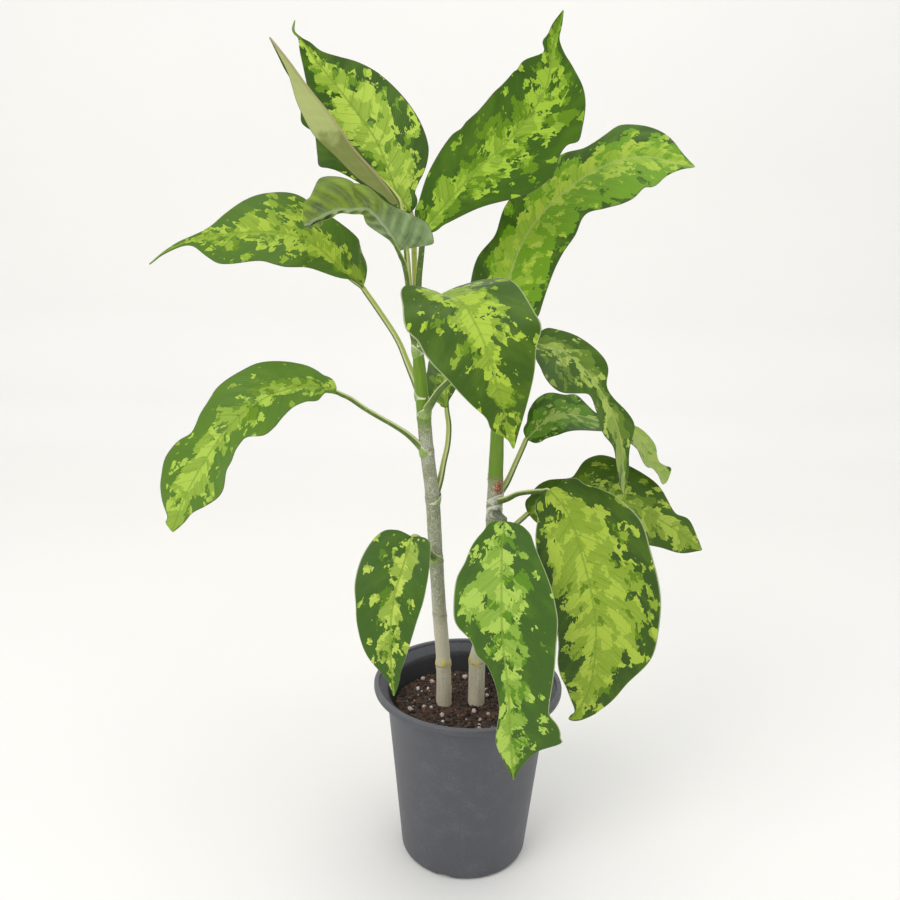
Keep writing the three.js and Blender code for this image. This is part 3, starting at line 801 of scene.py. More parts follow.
def grow_blade(
    shape, rib, faces, left, right, lime, green, fold, droop, lobe, waves, rolls, quilting,
):
    """Adds a blade: a thin closed sheet moved to its midrib, across it and off it."""
    course = Course(rib)
    faces = [Vector(f).normalized() for f in faces]
    left, right = ([*pairs, (1, BLADE_TIP_HALF)] for pairs in (left, right))
    widest = max(w for _, w in left + right)
    uv = shape.loops.layers.uv["UVMap"]
    spots = shape.verts.layers.float_vector["leaf_place"]
    rooms = shape.verts.layers.float_vector["patch_room"]
    before = set(shape.verts)
    bmesh.ops.create_grid(shape, x_segments=BLADE_ACROSS, y_segments=BLADE_ALONG, size=0.5)
    sheet = faces_of(v for v in shape.verts if v not in before)
    upper = bmesh.ops.extrude_face_region(shape, geom=sheet, use_keep_orig=True)
    for v in upper["geom"]:
        if isinstance(v, bmesh.types.BMVert):
            v.co.z = 1
    body = [v for v in shape.verts if v not in before]
    skins = faces_of(body)
    for f in skins:
        levels = {round(v.co.z) for v in f.verts}
        f.material_index = MARGIN if len(levels) == 2 else (UPPER if levels == {1} else UNDER)
        for corner in f.loops:
            corner[uv].uv = (corner.vert.co.x + 0.5, corner.vert.co.y + 0.5)
    for v in body:
        u = 2 * v.co.x
        t = (v.co.y + 0.5) ** CROWDING
        side = -1 if u < 0 else 1
        u = side * (1 - (1 - abs(u)) ** CROWDING)
        way = course.way(t)
        if t < 0.5:
            face = faces[0].lerp(faces[1], 2 * t)
        else:
            face = faces[1].lerp(faces[2], 2 * t - 1)
        face = square_to(face, way)
        width = half_width(left if u < 0 else right, t)
        reach = width * abs(u)
        lift = reach * math.sin(fold) - droop * width * u * u
        lobing = (reach / widest) ** lobe[2] * (1 - t) ** 3
        along = t * course.length
        foot = along - VEIN_LEAN * reach - VEIN_CURVE * reach * reach
        swell = math.sin(math.pi * min(1, abs(u) * 1.02)) ** 1.3
        quilt = quilting * swell * math.cos(2 * math.pi * foot / VEIN_SPACING)
        quilt -= MIDRIB_GROOVE * math.exp(-(reach / MIDRIB_HALF) ** 2) * (1 - t) ** 0.3
        wave = 0
        for size, count, start in waves[0 if u < 0 else 1]:
            wave += size * math.sin(2 * math.pi * (count * t + start))
        wave *= abs(u) ** 2.2 * math.sin(math.pi * min(1, t * 1.05)) ** 0.5
        thick = BLADE_THICKNESS * (1 - 0.4 * abs(u) ** 3)
        thick += RIB_THICKNESS * math.exp(-(reach / 1.3) ** 2) * (1 - t) ** 0.8
        depth = lift + wave + quilt - (1 - round(v.co.z)) * thick
        out = side * reach * math.cos(fold)
        for start, end, which, angle in rolls:
            if which * side > 0 and start < t < end:
                ease = math.sin(math.pi * (t - start) / (end - start)) ** 2
                beyond = max(0, reach - ROLL_FROM * width)
                depth += beyond * math.sin(angle * ease)
                out -= side * beyond * (1 - math.cos(angle * ease))
        point = course.at(t) - way * (lobe[0] * lobing) + way.cross(face) * out
        point += face * (depth + lobe[1] * lobing)
        v[spots] = (side * reach, along, abs(u))
        v[rooms] = [smooth_value(room[u > 0], t) for room in (lime, green)] + [0]
        v.co = point * MM
    bmesh.ops.recalc_face_normals(shape, faces=skins)
    return course


def wing(t, angle):
    """How far a stalk's two thin edges stand up at a place along and around it."""
    near = math.exp(-((abs(angle) - WING_ANGLE) / WING_WIDTH) ** 2)
    return near * smooth_value(WING_HEIGHTS, t)


def stalk_reach(t, angle, centre):
    r = smooth_value(STALK_RADII, t)
    flat = FRONT_FLATNESS * math.exp(-(angle / FRONT_WIDTH) ** 2)
    return r * (1 - flat) + WING_RISE * wing(t, angle) * min(1, r / 1.5)


def grow_stalk(shape, axis, stalk, blade, face):
    """Adds the stalk, from the cane's axis to its seat under the blade. Gives back the way
    that the stalk leaves the cane."""
    wings = shape.verts.layers.float["wing"]
    seat = [
        blade.at(t) - depth * square_to(Vector(face), blade.way(t)) for t, depth in SEAT_DEPTHS
    ]
    seat.insert(0, seat[0] + 3 * (Vector(stalk[-1]) - seat[0]).normalized())
    course = Course([axis, *stalk, *seat])
    outward = Vector((stalk[0][0] - axis.x, stalk[0][1] - axis.y, 0)).normalized()
    start = -outward + Vector((0, 0, STALK_LEAN))
    tube = rolled(shape, course, start, STALK_AROUND, STALK_ROWS, stalk_reach)
    marks = [course.at(k / STALK_PARTS) for k in range(STALK_PARTS + 1)]
    overs = course.carried(start, STALK_PARTS)
    for v in tube:
        here = v.co / MM
        k = min(range(STALK_PARTS + 1), key=lambda n: (marks[n] - here).length_squared)
        arm = square_to(here - marks[k], course.way(k / STALK_PARTS))
        v[wings] = wing(k / STALK_PARTS, math.acos(max(-1, min(1, arm.dot(overs[k])))))
    for f in faces_of(tube):
        f.material_index = STALK
    return outward


def grow_sheath(shape, axis, outward, girth):
    """Adds the sheath by which the stalk's foot clasps the cane."""
    wings = shape.verts.layers.float["wing"]
    foot = Course([axis + Vector((0, 0, z)) for z in (-FOOT_BELOW, 1, FOOT_ABOVE)])
    before = set(shape.verts)
    band = bmesh.ops.create_grid(
        shape, x_segments=SHEATH_ACROSS, y_segments=SHEATH_ROWS, size=0.5
    )["verts"]
    side = Vector((-outward.y, outward.x, 0))
    for v in band:
        angle = 2 * math.pi * v.co.x * SHEATH_WRAP
        up = v.co.y + 0.5
        facing = math.cos(angle / 2) ** 4
        top = 0.5 + 5 * facing
        low = -0.7 - 2.4 * facing
        bulge = 0.2 + 0.5 * facing * math.sin(math.pi * up) + 0.9 * up * facing
        z = low + (top - low) * up
        line = foot.at((z + FOOT_BELOW) / (FOOT_BELOW + FOOT_ABOVE))
        out = outward * math.cos(angle) + side * math.sin(angle)
        v[wings] = max(0, (up - 0.85) / 0.15, 1 - 3 * facing) ** 0.7
        v.co = (Vector((line.x, line.y, axis.z + z)) + out * (girth + bulge)) * MM
    shape.normal_update()
    bmesh.ops.solidify(shape, geom=faces_of(band), thickness=SHEATH_THICKNESS * MM)
    ring = faces_of(v for v in shape.verts if v not in before)
    for f in ring:
        f.material_index = SHEATH
    bmesh.ops.recalc_face_normals(shape, faces=ring)


def level(value):
    """The same reach all along both sides of a leaf."""
    return ([(0, value), (0.5, value), (1, value)],) * 2


LIME = (0.345, 0.485, 0.036)
GREEN = (0.13, 0.24, 0.006)
DARK = (0.043, 0.098, 0.005)
GREEN_RIB = (0.2, 0.32, 0.03)
PALE_RIB = (0.36, 0.46, 0.13)
BLUE_DARK = (0.05, 0.115, 0.013)
EVEN_LIME = level(0.4)
EVEN_GREEN = level(0.35)


def grow_leaf(
    name, replaced, cane, start, stalk, rib, faces, left, right, fold=0.12, droop=0.1,
    lobe=(3, 0, 2), waves=((), ()), rolls=(), quilting=0.22, seed=1, lime=EVEN_LIME,
    green=EVEN_GREEN, ragged=1.9, blotches=0.55, mottling=0.55, size=1,
    tones=(LIME, GREEN, DARK), rib_tone=GREEN_RIB, edge=BROWN_EDGE, stalk_skin=stalk_finish,
    sheath=sheath_finish, under=(0.16, 0.24, 0.09), far_under=(0.16, 0.24, 0.09), far_from=2,
    veining=1, valleys=0, under_rib=(0.22, 0.32, 0.12),
):
    """Grows one leaf as one piece. lime and green say how far out from the midrib those
    patches may lie, in (part of the length, part of the half width), left and right."""
    shape = bmesh.new()
    shape.loops.layers.uv.new("UVMap")
    shape.verts.layers.float_vector.new("leaf_place")
    shape.verts.layers.float_vector.new("patch_room")
    shape.verts.layers.float.new("wing")
    blade = grow_blade(
        shape, rib, faces, left, right, lime, green, fold, droop, lobe, waves, rolls, quilting
    )
    axis = min(cane.line, key=lambda p: abs(p.z - start))
    outward = grow_stalk(shape, axis, stalk, blade, faces[0])
    grow_sheath(shape, axis, outward, smooth_value(cane.radii, start) - SHEATH_BITE)
    leaf = piece_from(name, shape)

    top = finish(name + " upper side", tones[1], Specular_IOR_Level=0.2)
    look = top.placed(
        patches, seed=seed * SEED_STEP, raggedness=ragged, blotches=blotches, mottling=mottling,
        patch_size=1 / size, lime=tones[0], green=tones[1], dark=tones[2], rib=rib_tone,
        edge=edge,
    )
    grain = top.placed(speckle, scale=500, grain=3, contrast=0.5)
    gloss = top.scaled(look["Pale"], 0.06, 0.4)
    gloss = top.maths("ADD", gloss, top.times(grain["Shade"], 0.25))
    top.give(Base_Color=look["Colour"], Roughness=gloss)
    top.relief(look["Height"], 0.00035)

    below = finish(name + " under side", under, Roughness=0.62, Specular_IOR_Level=0.25)
    look = below.placed(
        underside, tone=under, vein=under_rib, far_tone=far_under, far_from=far_from,
        veining=veining, valleys=valleys,
    )
    below.give(Base_Color=look["Colour"])
    below.relief(look["Height"], 0.0004)

    for skin in (top.material, below.material, margins[edge], stalk_skin, sheath):
        leaf.data.materials.append(skin)
    rounding = leaf.modifiers.new("rounding", "SUBSURF")
    rounding.levels = rounding.render_levels = 1
    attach(leaf, "root")
    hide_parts(replaced)


# ---- Small low leaf, left cane ------------------------------------------------------------
# A small leaf at the front left, of leathery tissue with a pale margin. It grew from a ring
# half way up the cane and hangs on a thin stalk that bows outwards.
grow_leaf(
    "small_low_leaf", "leaf_small_low", left_cane, 200,
    stalk=[(-26, -10, 208), (-29, -24, 219), (-33, -40, 229)],
    rib=[
        (-35, -52, 233), (-39, -60, 219), (-43, -66, 206), (-45, -70, 190), (-45, -72, 172),
        (-43, -72, 146),
    ],
    faces=[(-0.1, -0.9, 0.5), (-0.05, -1, 0.3), (0, -1, 0.25)],
    left=[
        (0.03, 11), (0.085, 12.3), (0.175, 14.3), (0.357, 16.5), (0.527, 14), (0.667, 10.8),
        (0.76, 8), (0.84, 5.2), (0.93, 3),
    ],
    right=[
        (0.02, 13), (0.105, 19.5), (0.235, 23.5), (0.365, 23), (0.46, 20.5), (0.55, 19),
        (0.72, 13.7), (0.89, 3.3),
    ],
    lobe=(8, 2, 1), seed=1, green=level(0), ragged=1.3, mottling=0.5,
    tones=((0.44, 0.57, 0.08), (0.1, 0.21, 0.008), BLUE_DARK), edge=PALE_EDGE,
    lime=(
        [
            (0, 0.3), (0.1, 0.45), (0.25, 0.3), (0.34, 0.05), (0.45, 0.35), (0.6, 0.3),
            (0.75, 0.2), (1, 0),
        ],
        [
            (0, 0.15), (0.1, 0.3), (0.25, 0.28), (0.34, 0.05), (0.45, 0.3), (0.6, 0.35),
            (0.75, 0.4), (1, 0.2),
        ],
    ),
)

# ---- Leaf behind the centre, left cane ----------------------------------------------------
# A green leathery leaf that reaches back between the canes, mostly hidden by the leaf in
# front of it. Its stalk rises close beside the cane that it grew from.
grow_leaf(
    "leaf_behind", "leaf_behind_centre", left_cane, 237,
    stalk=[(-20.5, 3, 250), (-18.5, 5, 261), (-16.5, 7, 271), (-16, 9, 282)],
    rib=[(-18, 12, 294), (-18, 32, 306), (-13, 54, 314), (-5, 78, 318), (5, 100, 315)],
    faces=[(-0.2, -0.5, 0.85), (-0.1, -0.4, 0.9), (0, -0.2, 1)],
    left=[
        (0.04, 4.5), (0.1, 10.5), (0.2, 13.5), (0.35, 15), (0.5, 18), (0.65, 17), (0.8, 12),
        (0.92, 6),
    ],
    right=[
        (0.05, 1.6), (0.12, 5), (0.2, 8), (0.35, 14), (0.5, 17), (0.65, 16), (0.8, 11),
        (0.92, 6),
    ],
    fold=0.15, lobe=(4, 0, 2), seed=2,
)

# ---- Lower left leaf, left cane -----------------------------------------------------------
# A long leathery leaf with a wavy margin. Its slender stalk stands straight out from the
# cane, and the blade arches over to the left and hangs.
grow_leaf(
    "lower_left_leaf", "leaf_lower_left", left_cane, 268,
    stalk=[
        (-39, -2, 278.5), (-48, -2, 284.5), (-57, -2, 289.5), (-66, -3, 295), (-74.5, -4, 301),
    ],
    rib=[
        (-82, -6, 306), (-101, -12, 309), (-123, -20, 302), (-141, -28, 287), (-155, -34, 266),
        (-165, -38, 247), (-172, -40, 228),
    ],
    faces=[(0.05, -0.75, 0.66), (-0.3, -0.75, 0.6), (-0.6, -0.75, 0.3)],
    left=[
        (0.05, 3.4), (0.083, 10), (0.16, 11.5), (0.22, 13), (0.285, 17), (0.357, 21.8),
        (0.427, 23), (0.482, 16), (0.517, 15.5), (0.56, 15.5), (0.605, 17), (0.652, 17.5),
        (0.715, 23.5), (0.76, 24), (0.82, 19), (0.875, 12), (0.93, 8), (0.98, 2.8),
    ],
    right=[
        (0.062, 8.5), (0.11, 13), (0.145, 15.8), (0.193, 19), (0.275, 23.2), (0.335, 24),
        (0.427, 26), (0.48, 24.5), (0.537, 23), (0.583, 20.5), (0.618, 20), (0.662, 24),
        (0.715, 26), (0.765, 26.5), (0.823, 24), (0.863, 22), (0.92, 15.5), (0.96, 7.5),
        (0.993, 8.5),
    ],
    fold=0.15, seed=3, green=level(0.1), ragged=1.5,
    tones=((0.36, 0.52, 0.06), GREEN, (0.085, 0.18, 0.014)),
    waves=(((1.2, 2.5, 0.1),), ((1.2, 2.2, 0.6),)),
    lime=(
        [
            (0, 0.3), (0.15, 0.3), (0.3, 0.12), (0.4, 0.12), (0.5, 0.28), (0.6, 0.45),
            (0.75, 0.5), (0.9, 0.45), (1, 0.9),
        ],
        [
            (0, 0.4), (0.1, 0.32), (0.2, 0.18), (0.3, 0.1), (0.45, 0.25), (0.55, 0.28),
            (0.65, 0.38), (0.8, 0.5), (0.9, 0.5), (1, 0.9),
        ],
    ),
)

# ---- Leaf at the centre, left cane --------------------------------------------------------
# A heart-shaped leathery leaf with a pale margin, which faces forwards and hangs in front of
# the crown. It is joined to a short stalk at the notch of the heart.
grow_leaf(
    "centre_leaf", "leaf_centre", left_cane, 291,
    stalk=[(-22, -12, 308), (-14, -20, 320), (-15, -27, 342)],
    rib=[
        (-22, -30, 365), (-11, -54, 363), (-4, -68, 354), (2, -78, 342), (7, -84, 327),
        (12, -86, 310), (17, -85, 293),
    ],
    faces=[(0.38, -0.75, 0.8), (0.05, -1, 0.35), (0.1, -1, 0.2)],
    left=[
        (0.03, 27), (0.1, 28.5), (0.19, 30), (0.29, 30.5), (0.39, 30.2), (0.455, 30),
        (0.53, 30), (0.59, 24.5), (0.69, 20.2), (0.787, 14.5), (0.865, 9.5), (0.953, 3.5),
    ],
    right=[
        (0.03, 15.5), (0.06, 21), (0.125, 26.5), (0.22, 30.5), (0.357, 35), (0.415, 31.5),
        (0.475, 30.5), (0.562, 27.5), (0.635, 23), (0.677, 20.5), (0.758, 15.2), (0.833, 9.5),
        (0.89, 8.5), (0.945, 2.3),
    ],
    fold=0.1, droop=0.12, lobe=(11, 12, 1), seed=4, green=level(0.05), mottling=0.62,
    edge=PALE_EDGE,
    lime=(
        [
            (0, 0.35), (0.1, 0.5), (0.2, 0.55), (0.3, 0.55), (0.45, 0.42), (0.6, 0.3),
            (0.75, 0.3), (0.9, 0.45), (1, 0.9),
        ],
        [
            (0, 0.4), (0.1, 0.6), (0.2, 0.45), (0.3, 0.35), (0.45, 0.25), (0.6, 0.22),
            (0.8, 0.3), (1, 0.8),
        ],
    ),
)

# ---- Upper left leaf, left cane -----------------------------------------------------------
# A leathery leaf that stands out to the left and ends in a long thin tail. A long stalk
# carries it, and clasps the cane's young green top.
grow_leaf(
    "upper_left_leaf", "leaf_upper_left", left_cane, 302,
    stalk=[(-41, 8, 319), (-48, 12, 334), (-59, 15, 350)],
    rib=[
        (-68, 14, 365), (-79, 6, 374), (-97, -2, 390), (-118, -8, 395), (-143, -12, 393),
        (-160, -14, 390), (-176, -14, 383), (-185, -14, 376),
    ],
    faces=[(0, -0.8, 0.6), (0, -0.75, 0.65), (0, -0.7, 0.7)],
    left=[
        (0.06, 0.6), (0.12, 5.5), (0.22, 12), (0.4, 23), (0.52, 21), (0.68, 21), (0.74, 14),
        (0.79, 4.9), (0.83, 2.2), (0.92, 1.2),
    ],
    right=[
        (0.05, 18), (0.14, 22.2), (0.3, 22.5), (0.39, 29.5), (0.48, 28.5), (0.56, 24.5),
        (0.65, 15.5), (0.72, 6.5), (0.78, 3.2), (0.85, 2.2), (0.93, 0.6),
    ],
    seed=5, green=level(0.2), tones=(LIME, GREEN, (0.07, 0.15, 0.012)),
    lime=(
        [
            (0, 0.15), (0.15, 0.2), (0.3, 0.35), (0.42, 0.45), (0.5, 0.4), (0.6, 0.22),
            (0.75, 0.2), (1, 0.1),
        ],
        [
            (0, 0.2), (0.1, 0.35), (0.25, 0.4), (0.4, 0.4), (0.55, 0.42), (0.65, 0.35),
            (0.75, 0.25), (1, 0.2),
        ],
    ),
)

# ---- Curled leaf, left cane ---------------------------------------------------------------
# A leaf that is turned over, so that its matt grey-green under side shows, creased and curled
# at the tip. It is thin and leathery, and grew from the crown on an upright stalk.
grow_leaf(
    "curled_leaf", "leaf_curled", left_cane, 328,
    stalk=[(-41, -3, 352), (-41, -5, 367), (-43, -9, 379)],
    rib=[
        (-45, -14, 387), (-50, -18, 396), (-61, -25, 408), (-70, -30, 408), (-79, -34, 407),
        (-94, -41, 399),
    ],
    faces=[(0.5, 0.8, 0.3), (0, 0.9, 0.45), (0, 0.9, 0.45)],
    left=[
        (0.04, 20), (0.1, 21), (0.15, 20.5), (0.25, 14.5), (0.36, 9.5), (0.43, 9), (0.5, 12.5),
        (0.6, 14.5), (0.68, 17), (0.755, 18), (0.8, 15), (0.86, 11.5), (0.93, 10),
    ],
    right=[(0.08, 3.7), (0.18, 6.5), (0.33, 9), (0.46, 4.8), (0.7, 2.6), (0.85, 9), (0.96, 7)],
    fold=0.1, droop=-0.1, lobe=(6, 0, 2), seed=6, quilting=1.6, under_rib=(0.33, 0.42, 0.22),
    rolls=((0.5, 1.3, 1, -2.3),), under=(0.26, 0.36, 0.155), far_under=(0.225, 0.325, 0.032),
    far_from=0.4, valleys=0.2,
)

# ---- Top right leaf, left cane ------------------------------------------------------------
# The tallest leaf, upright and facing forwards, with a kinked tail and a small nick in its
# margin. It is leathery and mostly lime and green, and its stalk rises from the crown.
grow_leaf(
    "top_right_leaf", "leaf_top_right", left_cane, 338,
    stalk=[(-35, -3, 356), (-35, -3, 370), (-34, -1, 384)],
    rib=[
        (-33, 2, 398), (-20, 6, 413), (-3, 12, 432), (14, 16, 448), (26, 18, 463),
        (35, 19, 479), (37, 19, 497), (42, 20, 518),
    ],
    faces=[(0.1, -1, 0.2), (0.1, -1, 0.2), (0.3, -1, 0.1)],
    left=[
        (0.06, 12), (0.17, 19), (0.33, 24), (0.37, 23), (0.39, 24), (0.46, 24), (0.58, 24),
        (0.63, 22.5), (0.74, 20.5), (0.79, 18.5), (0.81, 16), (0.84, 4.6), (0.87, 7.5),
        (0.9, 5.2), (0.94, 4.2),
    ],
    right=[
        (0.06, 6.5), (0.2, 15), (0.35, 27), (0.49, 32), (0.56, 27.5), (0.6, 27.5), (0.63, 31.5),
        (0.67, 29), (0.73, 23.5), (0.78, 15.5), (0.82, 11), (0.85, 7.5), (0.9, 2.2),
        (0.94, 1.8),
    ],
    fold=0.15, droop=0.05, seed=7, green=level(0.4), ragged=2,
    tones=((0.31, 0.49, 0.03), (0.125, 0.25, 0.004), (0.04, 0.105, 0.003)),
    lime=(
        [
            (0, 0.4), (0.15, 0.5), (0.3, 0.15), (0.4, 0.22), (0.5, 0.22), (0.6, 0.05),
            (0.68, 0.35), (0.8, 0.35), (0.88, 0.1), (1, 0),
        ],
        [
            (0, 0.6), (0.12, 0.45), (0.25, 0.25), (0.4, 0.4), (0.5, 0.2), (0.6, 0.55),
            (0.7, 0.3), (0.8, 0.2), (0.9, 0.1), (1, 0),
        ],
    ),
)

# ---- Folded leaf, left cane ---------------------------------------------------------------
# A young leaf folded along its midrib, so that its smooth olive under side shows. It is
# softer than the others and stands on a stalk from the middle of the crown.
grow_leaf(
    "folded_leaf", "leaf_folded", left_cane, 332,
    stalk=[(-40, 2, 354), (-41, 2, 370), (-43, 2, 390)],
    rib=[
        (-48, 4, 412), (-60, 6, 426), (-74, 8, 441), (-87, 10, 459), (-100, 12, 474),
        (-110, 12, 487), (-120, 12, 499),
    ],
    faces=[(-0.9, 0.1, -0.4), (-0.9, 0.1, -0.4), (-0.9, 0.1, -0.4)],
    left=[
        (0.06, 4), (0.2, 9), (0.3, 12.5), (0.4, 11.5), (0.47, 14.5), (0.54, 16), (0.6, 19),
        (0.645, 19.5), (0.665, 16), (0.71, 8.5), (0.8, 6.5), (0.86, 5.5), (0.94, 2.6),
    ],
    right=[(0.06, 4), (0.2, 9), (0.35, 11), (0.5, 15), (0.65, 12), (0.8, 5), (0.92, 2)],
    fold=1, droop=0, lobe=(0, 0, 2), seed=8, under=(0.17, 0.205, 0.045),
    far_under=(0.37, 0.42, 0.14), far_from=0.5, veining=0.1, under_rib=(0.36, 0.29, 0.15),
)

# ---- Top left leaf, left cane -------------------------------------------------------------
# A broad upright leaf behind the folded one, leathery, with a large lime middle and a thin
# tail. Its stalk is the highest one on the cane.
grow_leaf(
    "top_left_leaf", "leaf_top_left", left_cane, 344,
    stalk=[(-37, 5, 360), (-38, 6, 378), (-39, 9, 394)],
    rib=[
        (-41, 14, 408), (-50, 20, 420), (-62, 30, 447), (-78, 38, 468), (-95, 42, 488),
        (-107, 43, 503), (-112, 43, 508), (-111, 43, 514),
    ],
    faces=[(0.1, -1, 0.25), (0.05, -1, 0.2), (0, -1, 0.1)],
    left=[
        (0.06, 6), (0.18, 17), (0.28, 28), (0.37, 37), (0.45, 34.5), (0.53, 29), (0.65, 20),
        (0.8, 9.5), (0.87, 5), (0.9, 2.6), (0.92, 0.6), (0.96, 0.8),
    ],
    right=[
        (0.06, 8.5), (0.13, 17), (0.2, 23.5), (0.26, 27), (0.36, 28), (0.5, 26.5), (0.59, 24),
        (0.68, 18.5), (0.75, 12), (0.82, 5.5), (0.88, 3.2), (0.9, 1.6), (0.92, 0.9),
        (0.96, 0.8),
    ],
    fold=0.15, droop=0.05, seed=9, green=level(0.3),
    tones=((0.42, 0.58, 0.06), (0.14, 0.28, 0.005), (0.035, 0.09, 0.003)),
    lime=(
        [(0, 0.4), (0.2, 0.45), (0.4, 0.45), (0.6, 0.5), (0.75, 0.4), (0.85, 0.2), (1, 0.1)],
        [(0, 0.5), (0.15, 0.7), (0.35, 0.62), (0.55, 0.5), (0.7, 0.3), (0.85, 0.15), (1, 0.1)],
    ),
)

# ---- Front leaf, right cane ---------------------------------------------------------------
# A leathery leaf with a pale margin that hangs in front of the pot's rim; one side swells out
# again above its tip. Its stalk, painted dark as painted shade, leaves a papery sheath near
# the bare cane's top.
grow_leaf(
    "front_leaf", "leaf_front", right_cane, 231,
    stalk=[(15.5, -9, 232.5), (17, -22, 235), (17, -34, 238.5)],
    rib=[
        (16.5, -46, 241.5), (15, -57, 227), (15, -67, 208), (16, -75, 183), (20, -80, 155),
        (22, -82, 129), (25, -81, 101),
    ],
    faces=[(0, -0.9, 0.5), (0, -1, 0.25), (0, -1, 0.1)],
    left=[
        (0.03, 14.5), (0.105, 18.5), (0.235, 26), (0.31, 29.2), (0.395, 30.8), (0.55, 27.5),
        (0.667, 23), (0.73, 22), (0.768, 26), (0.807, 28), (0.845, 28), (0.858, 31),
        (0.868, 23), (0.878, 16), (0.95, 4.8),
    ],
    right=[
        (0.05, 11), (0.113, 17), (0.173, 20.5), (0.233, 25), (0.34, 26.5), (0.388, 25),
        (0.44, 17.2), (0.487, 15), (0.532, 9.5), (0.69, 5.5), (0.83, 8.2), (0.91, 5),
    ],
    fold=0.1, droop=0.08, lobe=(5, 2, 2), seed=10, green=level(0.2), ragged=2.4,
    tones=((0.37, 0.54, 0.08), (0.112, 0.253, 0.012), BLUE_DARK), edge=PALE_EDGE,
    stalk_skin=shaded_stalk_finish, sheath=papery_finish,
    lime=(
        [
            (0, 0.05), (0.15, 0.15), (0.3, 0.3), (0.42, 0.1), (0.6, 0.15), (0.75, 0.3),
            (0.85, 0.35), (0.95, 0.2), (1, 0),
        ],
        [
            (0, 0.25), (0.15, 0.6), (0.3, 0.75), (0.42, 0.65), (0.5, 0.15), (0.62, 0.1),
            (0.75, 0.6), (0.9, 0.75), (1, 0.3),
        ],
    ),
)

# ---- Lower right leaf, right cane ---------------------------------------------------------
# A leathery leaf that reaches right and back behind the big leaf, past which its tip shows.
# Its stalk is the lowest on the cane and is hidden by the leaves in front.
grow_leaf(
    "lower_right_leaf", "leaf_lower_right", right_cane, 206,
    stalk=[(19, 6, 212), (26, 10, 219)],
    rib=[
        (35, 14, 227), (55, 22, 235), (78, 28, 238), (106, 32, 227), (131, 32, 213),
        (151, 30, 199),
    ],
    faces=[(0.1, -0.8, 0.7), (0.1, -0.8, 0.6), (0.1, -0.9, 0.4)],
    left=[
        (0.06, 9), (0.11, 12.5), (0.17, 13.5), (0.27, 10.5), (0.3, 14), (0.34, 21.5),
        (0.4, 26.5), (0.52, 25), (0.6, 23.5), (0.67, 20.5), (0.79, 10), (0.86, 11.5),
        (0.94, 5.5),
    ],
    right=[(0.06, 12), (0.2, 22), (0.35, 27), (0.5, 27), (0.65, 23), (0.8, 16), (0.92, 10.5)],
    fold=0.1, lobe=(6, 0, 2), seed=11, green=level(0.3), mottling=0.62,
    tones=((0.36, 0.48, 0.055), (0.13, 0.22, 0.01), (0.05, 0.11, 0.005)),
    lime=(
        [(0, 0.15), (0.3, 0.2), (0.5, 0.22), (0.7, 0.38), (0.85, 0.55), (1, 0.8)],
        [(0, 0.2), (0.4, 0.25), (0.6, 0.4), (0.8, 0.5), (1, 0.8)],
    ),
)

# ---- Big right leaf, right cane -----------------------------------------------------------
# The largest leaf, leathery and mostly lime, hanging to the front right with a small hooked
# tip. Its stalk leaves a papery sheath just above the front leaf's.
grow_leaf(
    "big_right_leaf", "leaf_big_right", right_cane, 238,
    stalk=[(19.5, -6, 242), (26.5, -12, 247.5), (36, -20, 251.5)],
    rib=[
        (43, -24, 254), (53, -32, 243), (60, -40, 225), (67, -46, 201), (71, -50, 177),
        (70, -52, 148), (66, -51, 133), (62, -50, 124), (58.5, -50, 121),
    ],
    faces=[(0.1, -0.85, 0.6), (0.15, -1, 0.3), (0.1, -1, 0.1)],
    left=[
        (0.072, 18.2), (0.113, 25.8), (0.152, 32), (0.247, 39.8), (0.37, 40.5), (0.503, 41),
        (0.605, 38), (0.708, 34), (0.805, 21), (0.86, 16), (0.92, 11.5), (0.96, 7), (0.98, 4.1),
    ],
    right=[
        (0.06, 16), (0.2, 24), (0.35, 26), (0.5, 24), (0.65, 22), (0.73, 21.5), (0.8, 18),
        (0.87, 12), (0.925, 5), (0.96, 0.9), (0.98, 2),
    ],
    fold=0.1, lobe=(8, 3, 2), seed=12, green=level(0.3), ragged=2,
    tones=((0.36, 0.49, 0.045), GREEN, (0.036, 0.082, 0.007)), edge=PALE_EDGE,
    sheath=papery_finish,
    lime=(
        [(0, 0.4), (0.15, 0.5), (0.3, 0.65), (0.5, 0.7), (0.7, 0.7), (0.85, 0.5), (1, 0.3)],
        [(0, 0.3), (0.15, 0.65), (0.4, 0.8), (0.6, 0.7), (0.7, 0.5), (0.85, 0.75), (1, 0.3)],
    ),
)

